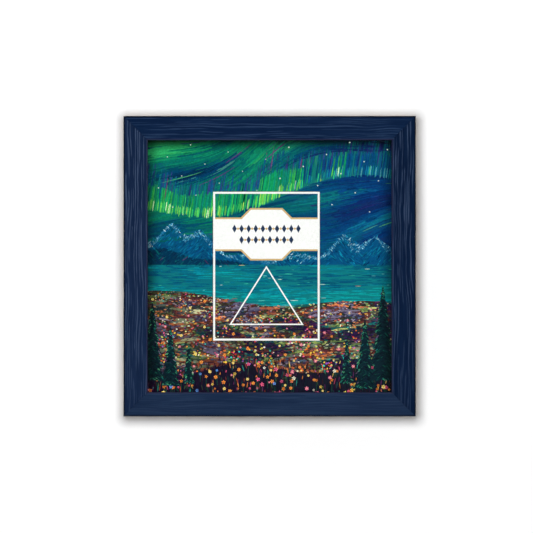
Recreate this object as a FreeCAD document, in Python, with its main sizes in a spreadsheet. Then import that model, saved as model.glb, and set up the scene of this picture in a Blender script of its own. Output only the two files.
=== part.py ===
"""Wall frame for one trading card: four mitred wooden rails round clear glazing, a printed sheet with a
window for the card, the boards behind it and the metal parts of the back.

Millimetres. X to the right and Z up as seen from the front, the front faces -Y, and the origin is in the
middle of the underside. Every size is a cell of the sheet Sizes, and the texts below that name a place
are expressions over those cells.
"""
import FreeCAD, Part
import math
import os

import Sketcher

Vector = FreeCAD.Vector

# Driving sizes
SIZES = {
    # rails
    "outer_width": 172.4,
    "outer_height": 177.2,
    "rail_width": 14.2,
    "rail_depth": 20.0,
    "lip_thickness": 5.0,
    "rebate_width": 4.6,
    "outer_round": 1.1,
    "sight_round": 0.5,
    "back_chamfer": 0.6,
    # sheets and boards in the rebate
    "sheet_clearance": 0.4,
    "glazing_thickness": 2.0,
    "glazing_gap": 0.2,
    "ink_thickness": 0.1,
    "paper_thickness": 0.3,
    "mount_thickness": 1.5,
    "backing_thickness": 3.0,
    # the card and its window
    "card_width": 63.0,
    "card_height": 88.0,
    "card_clearance": 0.2,
    "card_shift": -1.9,
    # figures printed on the card
    "outline_width": 1.15,
    "label_height": 19.8,
    "label_rise": 18.9,
    "plaque_rise": 5.6,
    "plaque_flat": 19.0,
    "edging_width": 1.0,
    "triangle_base": 44.1,
    "triangle_height": 35.0,
    "triangle_drop": 34.8,
    "triangle_line": 0.8,
    # figures printed on the landscape
    "bloom_radius_least": 0.45,
    "bloom_radius_most": 1.05,
    "star_radius_least": 0.25,
    "star_radius_most": 0.45,
    # strips that pull the mitres together
    "nail_leg": 5.0,
    "nail_gauge": 0.4,
    "nail_hook": 1.0,
    "nail_height": 7.0,
    "nail_wall": 2.0,
    # tabs that hold the backing
    "tab_width": 6.0,
    "tab_gauge": 0.5,
    "tab_bite": 5.5,
    "tab_reach": 9.0,
    "tab_tip": 2.5,
    "tab_place": 45.0,
    # hanger
    "hanger_width": 44.0,
    "hanger_height": 7.6,
    "hanger_gauge": 0.8,
    "hanger_raise": 1.4,
    "hanger_ear": 8.5,
    "hanger_slope": 2.0,
    "tooth_pitch": 2.4,
    "tooth_depth": 1.5,
    "tooth_count": 9,
    "pin_radius": 0.7,
    "pin_clearance": 0.15,
    "pin_bite": 8.0,
    "pin_head_radius": 1.6,
    "pin_head_thickness": 0.6,
    "pin_inset": 4.2,
    # bumpers
    "bumper_radius": 4.0,
    "bumper_inset": 15.0,
    "bumper_bevel": 0.7,
}

# Places along Y, from the front to the wall
PROUD = "(Sizes.hanger_raise + Sizes.hanger_gauge)"
FRONT = f"(-(Sizes.rail_depth + {PROUD}) / 2)"
BACK = f"({FRONT} + Sizes.rail_depth)"
LIP_BACK = f"({FRONT} + Sizes.lip_thickness)"
GLAZING_BACK = f"({LIP_BACK} + Sizes.glazing_thickness)"
DETAIL_FRONT = f"({GLAZING_BACK} + Sizes.glazing_gap)"
FIELD_FRONT = f"({DETAIL_FRONT} + Sizes.ink_thickness)"
PAPER_FRONT = f"({FIELD_FRONT} + Sizes.ink_thickness)"
PAPER_BACK = f"({PAPER_FRONT} + Sizes.paper_thickness)"
MOUNT_BACK = f"({PAPER_BACK} + Sizes.mount_thickness)"
BACKING_BACK = f"({MOUNT_BACK} + Sizes.backing_thickness)"

# Places across a rail, from its outer face inwards
SIGHT_EDGE = "Sizes.rail_width"
REBATE_EDGE = "(Sizes.rail_width - Sizes.rebate_width)"

# The sheets fill the rebate but for a clearance all round
SHEET_LEFT = f"(-Sizes.outer_width / 2 + {REBATE_EDGE} + Sizes.sheet_clearance)"
SHEET_RIGHT = f"(-{SHEET_LEFT})"
SHEET_FOOT = f"({REBATE_EDGE} + Sizes.sheet_clearance)"
SHEET_HEAD = f"(Sizes.outer_height - {SHEET_FOOT})"

# The card, level with the middle of the frame
CARD_LEFT = "(Sizes.card_shift - Sizes.card_width / 2)"
CARD_RIGHT = "(Sizes.card_shift + Sizes.card_width / 2)"
CARD_FOOT = "(Sizes.outer_height / 2 - Sizes.card_height / 2)"
CARD_HEAD = "(Sizes.outer_height / 2 + Sizes.card_height / 2)"

doc = FreeCAD.newDocument("CardFrame")
sheet = doc.addObject("Spreadsheet::Sheet", "Sizes")
for row, (alias, size) in enumerate(SIZES.items(), start=1):
    sheet.set(f"A{row}", alias)
    sheet.set(f"B{row}", str(size))
    sheet.setAlias(f"B{row}", alias)
doc.recompute()

pieces = []


def value(expression):
    """The number that an expression over the sheet gives."""
    return float(sheet.evalExpression(expression))


# Helpers for bodies and sketches


def new_body(name):
    body = doc.addObject("PartDesign::Body", name)
    body.Label = name
    pieces.append(body)
    return body


def new_sketch(body, name, plane, offset="0"):
    """A sketch on one of the body's own planes, moved along that plane's normal by an expression."""
    origin = {feature.Role: feature for feature in body.Origin.OriginFeatures}
    sketch = body.newObject("Sketcher::SketchObject", name)
    sketch.AttachmentSupport = [(origin[plane], "")]
    sketch.MapMode = "FlatFace"
    sketch.setExpression("AttachmentOffset.Base.z", offset)
    return sketch


def bind(sketch, kind, name, places, expression):
    """A named constraint that an expression drives."""
    index = sketch.addConstraint(Sketcher.Constraint(kind, *places, value(expression)))
    sketch.renameConstraint(index, name)
    sketch.setExpression(f"Constraints.{name}", expression)


def add_outline(sketch, corners):
    """A closed outline of straight lines, each corner a pair of expressions."""
    first = sketch.GeometryCount
    count = len(corners)
    points = [Vector(value(across), value(up), 0) for across, up in corners]
    for i in range(count):
        sketch.addGeometry(Part.LineSegment(points[i], points[(i + 1) % count]), False)
    for i in range(count):
        line = first + i
        follower = first + (i + 1) % count
        sketch.addConstraint(Sketcher.Constraint("Coincident", line, 2, follower, 1))
    for i, (across, up) in enumerate(corners):
        line = first + i
        bind(sketch, "DistanceX", f"across{line}", (-1, 1, line, 1), across)
        bind(sketch, "DistanceY", f"up{line}", (-1, 1, line, 1), up)


def add_circle(sketch, across, up, radius):
    """A circle, its centre and radius given by expressions."""
    centre = Vector(value(across), value(up), 0)
    circle = sketch.addGeometry(Part.Circle(centre, Vector(0, 0, 1), value(radius)), False)
    bind(sketch, "DistanceX", f"across{circle}", (-1, 1, circle, 3), across)
    bind(sketch, "DistanceY", f"up{circle}", (-1, 1, circle, 3), up)
    bind(sketch, "Radius", f"radius{circle}", (circle,), radius)


def rectangle(left, right, foot, head):
    return [(left, foot), (right, foot), (right, head), (left, head)]


def pad(body, sketch, name, length, backwards=False, symmetric=False):
    feature = body.newObject("PartDesign::Pad", name)
    feature.Profile = sketch
    feature.setExpression("Length", length)
    feature.Reversed = backwards
    if symmetric:
        feature.SideType = "Symmetric"
    doc.recompute()
    return feature


def pocket(body, sketch, name, length, reversed_cut=False):
    """Cuts a sketch out of the body, and stops if that takes nothing away."""
    before = body.Shape.Volume
    feature = body.newObject("PartDesign::Pocket", name)
    feature.Profile = sketch
    feature.setExpression("Length", length)
    feature.Reversed = reversed_cut
    doc.recompute()
    if before - body.Shape.Volume <= 0:
        raise RuntimeError(f"{body.Label}: {name} cuts nothing")
    return feature


def dress(body, kind, name, is_wanted, size_name, size):
    """A fillet or chamfer on the edges that a test picks."""
    base = body.Tip
    edges = [f"Edge{i}" for i, edge in enumerate(base.Shape.Edges, start=1) if is_wanted(edge)]
    if not edges:
        raise RuntimeError(f"{body.Label}: {name} finds no edge")
    feature = body.newObject(kind, name)
    feature.Base = (base, edges)
    feature.setExpression(size_name, size)
    doc.recompute()
    return feature


def fillet(body, name, is_wanted, radius):
    return dress(body, "PartDesign::Fillet", name, is_wanted, "Radius", radius)


def chamfer(body, name, is_wanted, size):
    return dress(body, "PartDesign::Chamfer", name, is_wanted, "Size", size)


def edge_along_x_at(y, z):
    """Tests for the edge that runs along X through a place given by two expressions."""
    at_y, at_z = value(y), value(z)

    def is_wanted(edge):
        box = edge.BoundBox
        thin = box.YLength < 1e-6 and box.ZLength < 1e-6
        return thin and abs(box.YMin - at_y) < 1e-6 and abs(box.ZMin - at_z) < 1e-6

    return is_wanted


def edge_along_y_at(places):
    """Tests for the edges that run along Y through any of some numbered places."""

    def is_wanted(edge):
        box = edge.BoundBox
        if box.XLength > 1e-6 or box.ZLength > 1e-6:
            return False
        return any(abs(box.XMin - x) < 1e-6 and abs(box.ZMin - z) < 1e-6 for x, z in places)

    return is_wanted


def place(body, x="0", z="0", turn=0):
    """Turns a body about Y and moves it in the plane of the frame."""
    body.Placement = FreeCAD.Placement(Vector(0, 0, 0), FreeCAD.Rotation(Vector(0, 1, 0), turn))
    body.setExpression("Placement.Base.x", x)
    body.setExpression("Placement.Base.z", z)
    doc.recompute()


# Each rail is modelled as the bottom one, its outer face at z = 0, and turned to its side

SIDES = {
    "bottom": {"length": "Sizes.outer_width", "x": "0", "z": "0", "turn": 0},
    "top": {"length": "Sizes.outer_width", "x": "0", "z": "Sizes.outer_height", "turn": 180},
    "left": {
        "length": "Sizes.outer_height",
        "x": "-Sizes.outer_width / 2",
        "z": "Sizes.outer_height / 2",
        "turn": 90,
    },
    "right": {
        "length": "Sizes.outer_height",
        "x": "Sizes.outer_width / 2",
        "z": "Sizes.outer_height / 2",
        "turn": -90,
    },
}


def nail_outline(corner_x, inwards_x, corner_z="0", inwards_z="+"):
    """The hooked V of a corner strip, its point towards the rebate.

    corner_x and corner_z are the frame's outer corner, and the signs say which way is into the frame.
    """
    apex = f"({REBATE_EDGE} - Sizes.nail_wall)"
    inner = f"({apex} - Sizes.nail_gauge)"
    end = f"({apex} - Sizes.nail_leg)"
    end_inner = f"({end} + Sizes.nail_gauge)"
    hook = f"({apex} - Sizes.nail_hook)"
    leg = [(end, apex), (end, hook), (end_inner, hook), (end_inner, inner)]
    other_leg = [(b, a) for a, b in reversed(leg)]
    corners = [(apex, apex)] + leg + [(inner, inner)] + other_leg
    return [(f"{corner_x} {inwards_x} {a}", f"{corner_z} {inwards_z} {b}") for a, b in corners]


def tab_outline(middle):
    """A spring tab seen from the back: a point in the wood and a square end over the backing."""
    half = "Sizes.tab_width / 2"
    tip = f"{REBATE_EDGE} - Sizes.tab_bite"
    shoulder = f"{tip} + Sizes.tab_tip"
    end = f"{REBATE_EDGE} + Sizes.tab_reach"
    return [
        (middle, tip),
        (f"{middle} + {half}", shoulder),
        (f"{middle} + {half}", end),
        (f"{middle} - {half}", end),
        (f"{middle} - {half}", shoulder),
    ]


TAB_MIDDLES = ("-Sizes.tab_place", "Sizes.tab_place")
PIN_PLACES = (
    "-(Sizes.hanger_width / 2 - Sizes.pin_inset)",
    "(Sizes.hanger_width / 2 - Sizes.pin_inset)",
)
HANGER_MIDDLE = f"({REBATE_EDGE} / 2)"


def make_rail(side):
    """One mitred length of rebated moulding, with the cuts that its metal parts have driven in it."""
    facts = SIDES[side]
    half_length = f"{facts['length']} / 2"
    body = new_body(f"{side}_rail")
    section = new_sketch(body, f"{side}_section", "YZ_Plane")
    add_outline(
        section,
        [
            (FRONT, "0"),
            (FRONT, SIGHT_EDGE),
            (LIP_BACK, SIGHT_EDGE),
            (LIP_BACK, REBATE_EDGE),
            (BACK, REBATE_EDGE),
            (BACK, "0"),
        ],
    )
    pad(body, section, f"{side}_moulding", facts["length"], symmetric=True)
    fillet(body, f"{side}_outer_round", edge_along_x_at(FRONT, "0"), "Sizes.outer_round")
    fillet(body, f"{side}_sight_round", edge_along_x_at(FRONT, SIGHT_EDGE), "Sizes.sight_round")
    chamfer(body, f"{side}_back_chamfer", edge_along_x_at(BACK, "0"), "Sizes.back_chamfer")

    mitres = new_sketch(body, f"{side}_mitre_lines", "XZ_Plane", f"-{BACK}")
    rail = "Sizes.rail_width"
    for sign in ("", "-"):
        beyond = f"{sign}({half_length} + {rail})"
        within = f"{sign}({half_length} - 2 * {rail})"
        add_outline(mitres, [(beyond, f"-{rail}"), (beyond, f"2 * {rail}"), (within, f"2 * {rail}")])
    pocket(body, mitres, f"{side}_mitres", "Sizes.rail_depth * 2", reversed_cut=True)

    kerfs = new_sketch(body, f"{side}_kerf_lines", "XZ_Plane", f"-{BACK}")
    add_outline(kerfs, nail_outline(f"-{half_length}", "+"))
    add_outline(kerfs, nail_outline(half_length, "-"))
    pocket(body, kerfs, f"{side}_kerfs", "Sizes.nail_height", reversed_cut=True)

    slots = new_sketch(body, f"{side}_slot_lines", "XZ_Plane", f"-{BACKING_BACK}")
    for middle in TAB_MIDDLES:
        add_outline(slots, tab_outline(middle))
    pocket(body, slots, f"{side}_slots", "Sizes.tab_gauge")

    if side == "top":
        holes = new_sketch(body, "top_pin_hole_lines", "XZ_Plane", f"-{BACK}")
        for across in PIN_PLACES:
            add_circle(holes, across, HANGER_MIDDLE, "Sizes.pin_radius")
        pocket(body, holes, "top_pin_holes", "Sizes.pin_bite", reversed_cut=True)
    place(body, facts["x"], facts["z"], facts["turn"])


def make_corner_nail(upright, across):
    """A hooked strip of steel, driven into the back over a mitre."""
    body = new_body(f"corner_nail_{upright}_{across}")
    sketch = new_sketch(body, f"{upright}_{across}_strip", "XZ_Plane", f"-{BACK}")
    corner_x = "-Sizes.outer_width / 2" if across == "left" else "Sizes.outer_width / 2"
    inwards_x = "+" if across == "left" else "-"
    corner_z = "0" if upright == "bottom" else "Sizes.outer_height"
    inwards_z = "+" if upright == "bottom" else "-"
    add_outline(sketch, nail_outline(corner_x, inwards_x, corner_z, inwards_z))
    pad(body, sketch, f"{upright}_{across}_strip_pad", "Sizes.nail_height")


def make_tabs(side):
    """Two spring tabs of a side, which the wood grips and which lie on the backing."""
    facts = SIDES[side]
    for number, middle in enumerate(TAB_MIDDLES, start=1):
        body = new_body(f"spring_tab_{side}_{number}")
        sketch = new_sketch(body, f"{side}_tab_{number}_outline", "XZ_Plane", f"-{BACKING_BACK}")
        add_outline(sketch, tab_outline(middle))
        pad(body, sketch, f"{side}_tab_{number}_plate", "Sizes.tab_gauge", backwards=True)
        end = value(f"{REBATE_EDGE} + Sizes.tab_reach")
        half = value("Sizes.tab_width / 2")
        corners = [(value(middle) - half, end), (value(middle) + half, end)]
        fillet(body, f"{side}_tab_{number}_end", edge_along_y_at(corners), "Sizes.tab_width / 4")
        place(body, facts["x"], facts["z"], facts["turn"])


# Sheets and boards


def make_sheet(name, front, thickness, outlines):
    """A flat sheet from a front plane backwards, the second outline being its window."""
    body = new_body(name)
    sketch = new_sketch(body, f"{name}_outline", "XZ_Plane", f"-{front}")
    for outline in outlines:
        add_outline(sketch, outline)
    pad(body, sketch, f"{name}_plate", thickness, backwards=True)


SHEET = rectangle(SHEET_LEFT, SHEET_RIGHT, SHEET_FOOT, SHEET_HEAD)
CARD = rectangle(CARD_LEFT, CARD_RIGHT, CARD_FOOT, CARD_HEAD)
WINDOW = rectangle(
    f"{CARD_LEFT} - Sizes.card_clearance",
    f"{CARD_RIGHT} + Sizes.card_clearance",
    f"{CARD_FOOT} - Sizes.card_clearance",
    f"{CARD_HEAD} + Sizes.card_clearance",
)


# Figures printed on the card, in the upper layer of ink

LABEL_MIDDLE = "(Sizes.outer_height / 2 + Sizes.label_rise)"
LABEL_REACH = "(Sizes.card_width / 2 - Sizes.outline_width)"


def label_outline(inset):
    """A band across the card with an eight-sided plaque in its middle, its upper and lower lines inset."""
    band = f"(Sizes.label_height / 2 - {inset})"
    plaque = f"(Sizes.label_height / 2 + Sizes.plaque_rise - {inset})"
    flat = f"(Sizes.plaque_flat / 2 - {inset} * (sqrt(2) - 1))"
    shoulder = f"({flat} + Sizes.plaque_rise)"
    quarter = [(LABEL_REACH, band), (shoulder, band), (flat, plaque)]
    upper = quarter + [(f"-{across}", up) for across, up in reversed(quarter)]
    lower = [(across, f"-{up}") for across, up in reversed(upper)]
    return [(f"Sizes.card_shift + {across}", f"{LABEL_MIDDLE} + {up}") for across, up in upper + lower]


def triangle_outline(line):
    """A triangle with its foot level, drawn inwards of its outer edge by a line's width."""
    half_base = "(Sizes.triangle_base / 2)"
    slant = f"sqrt(Sizes.triangle_height ^ 2 + {half_base} ^ 2)"
    inner_radius = f"(Sizes.triangle_height * {half_base} / ({half_base} + {slant}))"
    share = f"(1 - {line} / {inner_radius})"
    foot = "(Sizes.outer_height / 2 - Sizes.triangle_drop)"
    low = f"{foot} + {line}"
    high = f"{foot} + {inner_radius} + (Sizes.triangle_height - {inner_radius}) * {share}"
    return [
        (f"Sizes.card_shift - {half_base} * {share}", low),
        (f"Sizes.card_shift + {half_base} * {share}", low),
        ("Sizes.card_shift", high),
    ]


def make_card_figures():
    ink = "Sizes.ink_thickness"
    inner = rectangle(
        f"{CARD_LEFT} + Sizes.outline_width",
        f"{CARD_RIGHT} - Sizes.outline_width",
        f"{CARD_FOOT} + Sizes.outline_width",
        f"{CARD_HEAD} - Sizes.outline_width",
    )
    make_sheet("card_border", DETAIL_FRONT, ink, [CARD, inner])
    label = label_outline("Sizes.edging_width")
    make_sheet("card_label", DETAIL_FRONT, ink, [label])
    make_sheet("card_label_edging", DETAIL_FRONT, ink, [label_outline("0")])
    edging = pieces[-1]
    middle = new_sketch(edging, "edging_middle", "XZ_Plane", f"-{DETAIL_FRONT}")
    add_outline(middle, label)
    pocket(edging, middle, "edging_cut", ink)
    make_sheet(
        "card_triangle",
        DETAIL_FRONT,
        ink,
        [triangle_outline("0"), triangle_outline("Sizes.triangle_line")],
    )


# The printed landscape. Each colour is a field of ink, and each field covers what lies behind it.
# Places are shares of the sheet, from its left edge and from its foot. The card's edges keep their
# shares whatever its size, so the picture keeps its layout round the card.

CARD_SHARES = {"left_share": 0.2808, "right_share": 0.6942, "foot_share": 0.2201, "head_share": 0.7799}

AURORA_GLOW = {
    "level_share": 0.61, "rise_share": 0.13, "swing_share": 0.05, "height_share": 0.29,
    "waves": 1.1, "phase": 0.35,
}
AURORA = {
    "level_share": 0.69, "rise_share": 0.13, "swing_share": 0.045, "height_share": 0.10,
    "waves": 1.1, "phase": 0.40,
}
LAKE_SHARE = 0.505
FAR_RIDGE_SHARES = [
    (0, 0.585), (0.05, 0.60), (0.12, 0.665), (0.18, 0.615), (0.23, 0.64), (0.33, 0.54), (0.42, 0.565),
    (0.50, 0.525), (0.60, 0.56), (0.69, 0.53), (0.79, 0.625), (0.85, 0.58), (0.91, 0.615), (1, 0.55),
]
NEAR_RIDGE_SHARES = [
    (0, 0.55), (0.09, 0.57), (0.2, 0.53), (0.31, 0.525), (0.44, LAKE_SHARE), (1, LAKE_SHARE),
]
MEADOW = {"level_share": 0.395, "rise_share": -0.05, "swing_share": 0.018, "waves": 1.3, "phase": 0.1}
BANK = {"level_share": 0.10, "rise_share": 0.03, "swing_share": 0.022, "waves": 1.7, "phase": 0.6}
CURVE_STEPS = 12
SPOT_SIDES = 6
BLOOMS = {
    "orange": {"count": 52, "start_share": 0.11},
    "yellow": {"count": 44, "start_share": 0.47},
    "pink": {"count": 40, "start_share": 0.79},
}
BLOOM_EDGE_SHARE = 0.02
STARS = {"count": 30, "start_share": 0.27, "lowest_share": 0.70, "highest_share": 0.97}
# Conifers: where each stands across the sheet, its foot, and its height
CONIFER_SHARES = [
    (0.045, 0.07, 0.30), (0.115, 0.05, 0.23), (0.185, 0.06, 0.15),
    (0.80, 0.06, 0.17), (0.87, 0.04, 0.27), (0.94, 0.07, 0.36),
]
CONIFER_TIERS = 6
CONIFER_WIDTH_SHARE = 0.34
CONIFER_NOTCH_SHARE = 0.55
GOLDEN_SHARE = (math.sqrt(5) - 1) / 2


def length_at(share, marks):
    """The length at a share, on straight lines through marks of a share and an expression."""
    last = len(marks) - 2
    i = next((i for i in range(last) if share < marks[i + 1][0]), last)
    (share_before, before), (share_after, after) = marks[i], marks[i + 1]
    start, end = value(before), value(after)
    return start + (end - start) * (share - share_before) / (share_after - share_before)


def spot(across, up):
    """A place of the picture in the plane of the frame."""
    left, right, foot, head = CARD_SHARES.values()
    x_marks = [(0, SHEET_LEFT), (left, CARD_LEFT), (right, CARD_RIGHT), (1, SHEET_RIGHT)]
    z_marks = [(0, SHEET_FOOT), (foot, CARD_FOOT), (head, CARD_HEAD), (1, SHEET_HEAD)]
    return Vector(length_at(across, x_marks), 0, length_at(up, z_marks))


def polygon_face(points):
    return Part.Face(Part.makePolygon(points + points[:1]))


def wave_height(wave, across):
    turn = 2 * math.pi * (wave["waves"] * across + wave["phase"])
    return wave["level_share"] + wave["rise_share"] * across + wave["swing_share"] * math.sin(turn)


def wave_curve(wave, lift=0.0):
    """A smooth line across the whole sheet."""
    curve = Part.BSplineCurve()
    shares = [i / CURVE_STEPS for i in range(CURVE_STEPS + 1)]
    curve.interpolate([spot(share, wave_height(wave, share) + lift) for share in shares])
    return curve


def band_face(upper, lower):
    """The face between two lines across the sheet."""
    sides = [
        Part.makeLine(lower.value(lower.FirstParameter), upper.value(upper.FirstParameter)),
        Part.makeLine(lower.value(lower.LastParameter), upper.value(upper.LastParameter)),
    ]
    return Part.Face(Part.Wire(Part.__sortEdges__([upper.toShape(), lower.toShape()] + sides)))


def face_below(upper):
    """The face from a line across the sheet down to the sheet's foot."""
    return band_face(upper, Part.LineSegment(spot(0, 0), spot(1, 0)))


def picture_faces():
    """Each field's whole face, the farthest first."""
    ground = [(1, 0), (0, 0)]
    glow_top = wave_curve(AURORA_GLOW, AURORA_GLOW["height_share"])
    aurora_top = wave_curve(AURORA, AURORA["height_share"])
    return {
        "sky": polygon_face([spot(*place) for place in [(0, 1), (1, 1)] + ground]),
        "aurora_glow": band_face(glow_top, wave_curve(AURORA_GLOW)),
        "aurora": band_face(aurora_top, wave_curve(AURORA)),
        "far_ridge": polygon_face([spot(*place) for place in FAR_RIDGE_SHARES + ground]),
        "near_ridge": polygon_face([spot(*place) for place in NEAR_RIDGE_SHARES + ground]),
        "lake": polygon_face([spot(*place) for place in [(0, LAKE_SHARE), (1, LAKE_SHARE)] + ground]),
        "meadow": face_below(wave_curve(MEADOW)),
        "bank": face_below(wave_curve(BANK)),
    }


def outline_face(outline):
    """The face that a list of expression pairs draws."""
    return polygon_face([Vector(value(across), 0, value(up)) for across, up in outline])


def add_ink(name, faces, front):
    """Ink of one colour: flat faces, given a thickness towards the back and joined where they meet."""
    thickness = value("Sizes.ink_thickness")
    layers = [face.extrude(Vector(0, thickness, 0)) for face in faces]
    ink = doc.addObject("Part::Feature", name)
    ink.Label = name
    ink.Shape = layers[0].multiFuse(layers[1:]).removeSplitter() if len(layers) > 1 else layers[0]
    ink.Placement = FreeCAD.Placement(Vector(0, value(front), 0), FreeCAD.Rotation())
    pieces.append(ink)


def print_fields(paper, card_face):
    """The lower layer of ink: each field less the nearer ones, on the sheet and on the card."""
    faces = picture_faces()
    names = list(faces)
    for i, name in enumerate(names):
        nearer = [faces[other] for other in names[i + 1:]]
        seen = faces[name].cut(nearer) if nearer else faces[name]
        for owner, ground in (("print", paper), ("card", card_face)):
            parts = seen.common(ground).Faces
            if parts:
                add_ink(f"{owner}_{name}", parts, FIELD_FRONT)


def scatter(facts):
    """Even, irregular places in a unit square, each with a share that sets its size."""
    for i in range(1, facts["count"] + 1):
        across = (facts["start_share"] + i * GOLDEN_SHARE) % 1
        size = (facts["start_share"] + i * GOLDEN_SHARE ** 2) % 1
        yield across, (i - 0.5) / facts["count"], size


def spot_radius(kind, share):
    least, most = value(f"Sizes.{kind}_radius_least"), value(f"Sizes.{kind}_radius_most")
    return least + (most - least) * share


def spot_face(centre, radius):
    """A small figure with level sides above and below."""
    angles = [2 * math.pi * i / SPOT_SIDES for i in range(SPOT_SIDES)]
    return polygon_face([centre + Vector(math.cos(a), 0, math.sin(a)) * radius for a in angles])


def conifer_face(across, foot, height):
    """A tree's outline, its two sides stepped in tiers."""
    steps = []
    for tier in range(CONIFER_TIERS):
        reach = CONIFER_WIDTH_SHARE / 2 * (1 - tier / CONIFER_TIERS) * height
        steps.append((reach, foot + height * tier / CONIFER_TIERS))
        steps.append((reach * CONIFER_NOTCH_SHARE, foot + height * (tier + 0.9) / CONIFER_TIERS))
    right = [(across + reach, up) for reach, up in steps[:-1]]
    left = [(across - reach, up) for reach, up in reversed(steps[:-1])]
    return polygon_face([spot(*place) for place in right + [(across, foot + height)] + left])


def clear_of(face, others):
    return all(face.distToShape(other)[0] > 0 for other in others)


def lies_on(face, ground):
    return math.isclose(face.common(ground).Area, face.Area)


def bloom_faces(facts, taken):
    """Flowers all over the meadow, smaller towards its far edge, clear of what is drawn already."""
    flowers = []
    for across, depth, size in scatter(facts):
        farthest = wave_height(MEADOW, across) - BLOOM_EDGE_SHARE
        up = BLOOM_EDGE_SHARE + (farthest - BLOOM_EDGE_SHARE) * depth
        flower = spot_face(spot(across, up), spot_radius("bloom", size * (1 - depth / 2)))
        if clear_of(flower, taken):
            flowers.append(flower)
            taken.append(flower)
    return flowers


def star_faces():
    lowest, highest = STARS["lowest_share"], STARS["highest_share"]
    return [
        spot_face(spot(across, lowest + (highest - lowest) * height), spot_radius("star", size))
        for across, height, size in scatter(STARS)
    ]


def print_details(paper, card_face):
    """The upper layer of ink: conifers, flowers and stars, clear of each other and of the card's figures."""
    figures = [outline_face(outline) for outline in (label_outline("0"), triangle_outline("0"))]
    trees = [conifer_face(*shares).common(paper).Faces[0] for shares in CONIFER_SHARES]
    add_ink("print_conifers", trees, DETAIL_FRONT)
    within_border = card_face.makeOffset2D(-value("Sizes.outline_width"))
    taken = list(trees)
    for colour, facts in BLOOMS.items():
        flowers = bloom_faces(facts, taken)
        on_print = [flower for flower in flowers if lies_on(flower, paper)]
        on_card = [f for f in flowers if lies_on(f, within_border) and clear_of(f, figures)]
        add_ink(f"print_blooms_{colour}", on_print, DETAIL_FRONT)
        add_ink(f"card_blooms_{colour}", on_card, DETAIL_FRONT)
    add_ink("print_stars", [star for star in star_faces() if lies_on(star, paper)], DETAIL_FRONT)


# Hanger, its pins and the bumpers


def make_hanger():
    """A strip with two ears on the wood, a raised middle and saw teeth along its lower edge."""
    body = new_body("sawtooth_hanger")
    sketch = new_sketch(body, "hanger_bends", "XY_Plane", f"Sizes.outer_height - {HANGER_MIDDLE}")
    half = "(Sizes.hanger_width / 2)"
    ear = f"({half} - Sizes.hanger_ear)"
    crest = f"({ear} - Sizes.hanger_slope)"
    raised = f"({BACK} + Sizes.hanger_raise)"
    gauge = "Sizes.hanger_gauge"
    right_side = [
        (crest, raised),
        (ear, BACK),
        (half, BACK),
        (half, f"{BACK} + {gauge}"),
        (f"{ear} + {gauge} / 2", f"{BACK} + {gauge}"),
        (f"{crest} + {gauge} / 2", f"{raised} + {gauge}"),
    ]
    left_side = [(f"-({x})", y) for x, y in reversed(right_side)]
    add_outline(sketch, right_side + left_side)
    pad(body, sketch, "hanger_strip", "Sizes.hanger_height", symmetric=True)

    foot = f"(Sizes.outer_height - {HANGER_MIDDLE} - Sizes.hanger_height / 2)"
    teeth = new_sketch(body, "hanger_first_tooth", "XZ_Plane", f"-({BACK} + {PROUD})")
    first = "(-(Sizes.tooth_count - 1) / 2 * Sizes.tooth_pitch)"
    below = f"{foot} - Sizes.tooth_depth"
    add_outline(
        teeth,
        [
            (f"{first} - Sizes.tooth_pitch", below),
            (f"{first} + Sizes.tooth_pitch", below),
            (first, f"{foot} + Sizes.tooth_depth"),
        ],
    )
    notch = pocket(body, teeth, "hanger_notch", "Sizes.hanger_gauge * 1.5", reversed_cut=True)
    row = body.newObject("PartDesign::LinearPattern", "hanger_teeth")
    row.Originals = [notch]
    row.Direction = (teeth, ["H_Axis"])
    row.setExpression("Length", "(Sizes.tooth_count - 1) * Sizes.tooth_pitch")
    row.setExpression("Occurrences", "Sizes.tooth_count")
    body.Tip = row
    doc.recompute()

    holes = new_sketch(body, "hanger_hole_lines", "XZ_Plane", f"-({BACK} + {gauge})")
    for across in PIN_PLACES:
        middle = f"Sizes.outer_height - {HANGER_MIDDLE}"
        add_circle(holes, across, middle, "Sizes.pin_radius + Sizes.pin_clearance")
    pocket(body, holes, "hanger_holes", "Sizes.hanger_gauge * 2", reversed_cut=True)
    top = value(f"Sizes.outer_height - {HANGER_MIDDLE} + Sizes.hanger_height / 2")
    bottom = value(foot)
    side = value(half)
    corners = [(x, z) for x in (-side, side) for z in (bottom, top)]
    fillet(body, "hanger_corners", edge_along_y_at(corners), "Sizes.hanger_height / 4")


def make_pin(name, across):
    """A panel pin through an ear of the hanger into the top rail."""
    body = new_body(name)
    middle = f"Sizes.outer_height - {HANGER_MIDDLE}"
    sketch = new_sketch(body, f"{name}_half", "XY_Plane", middle)
    seat = f"({BACK} + Sizes.hanger_gauge)"
    tip = f"({BACK} - Sizes.pin_bite)"
    shank = f"{across} + Sizes.pin_radius"
    head = f"{across} + Sizes.pin_head_radius"
    rim = f"({seat} + Sizes.pin_head_thickness)"
    add_outline(
        sketch,
        [
            (across, tip),
            (shank, f"{tip} + 2 * Sizes.pin_radius"),
            (shank, seat),
            (head, seat),
            (head, f"{rim} - Sizes.pin_head_thickness / 3"),
            (f"{across} + Sizes.pin_head_radius * 2 / 3", rim),
            (across, rim),
        ],
    )
    turned = body.newObject("PartDesign::Revolution", f"{name}_turned")
    turned.Profile = sketch
    turned.ReferenceAxis = (sketch, ["Edge7"])
    turned.Angle = 360
    doc.recompute()


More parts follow.
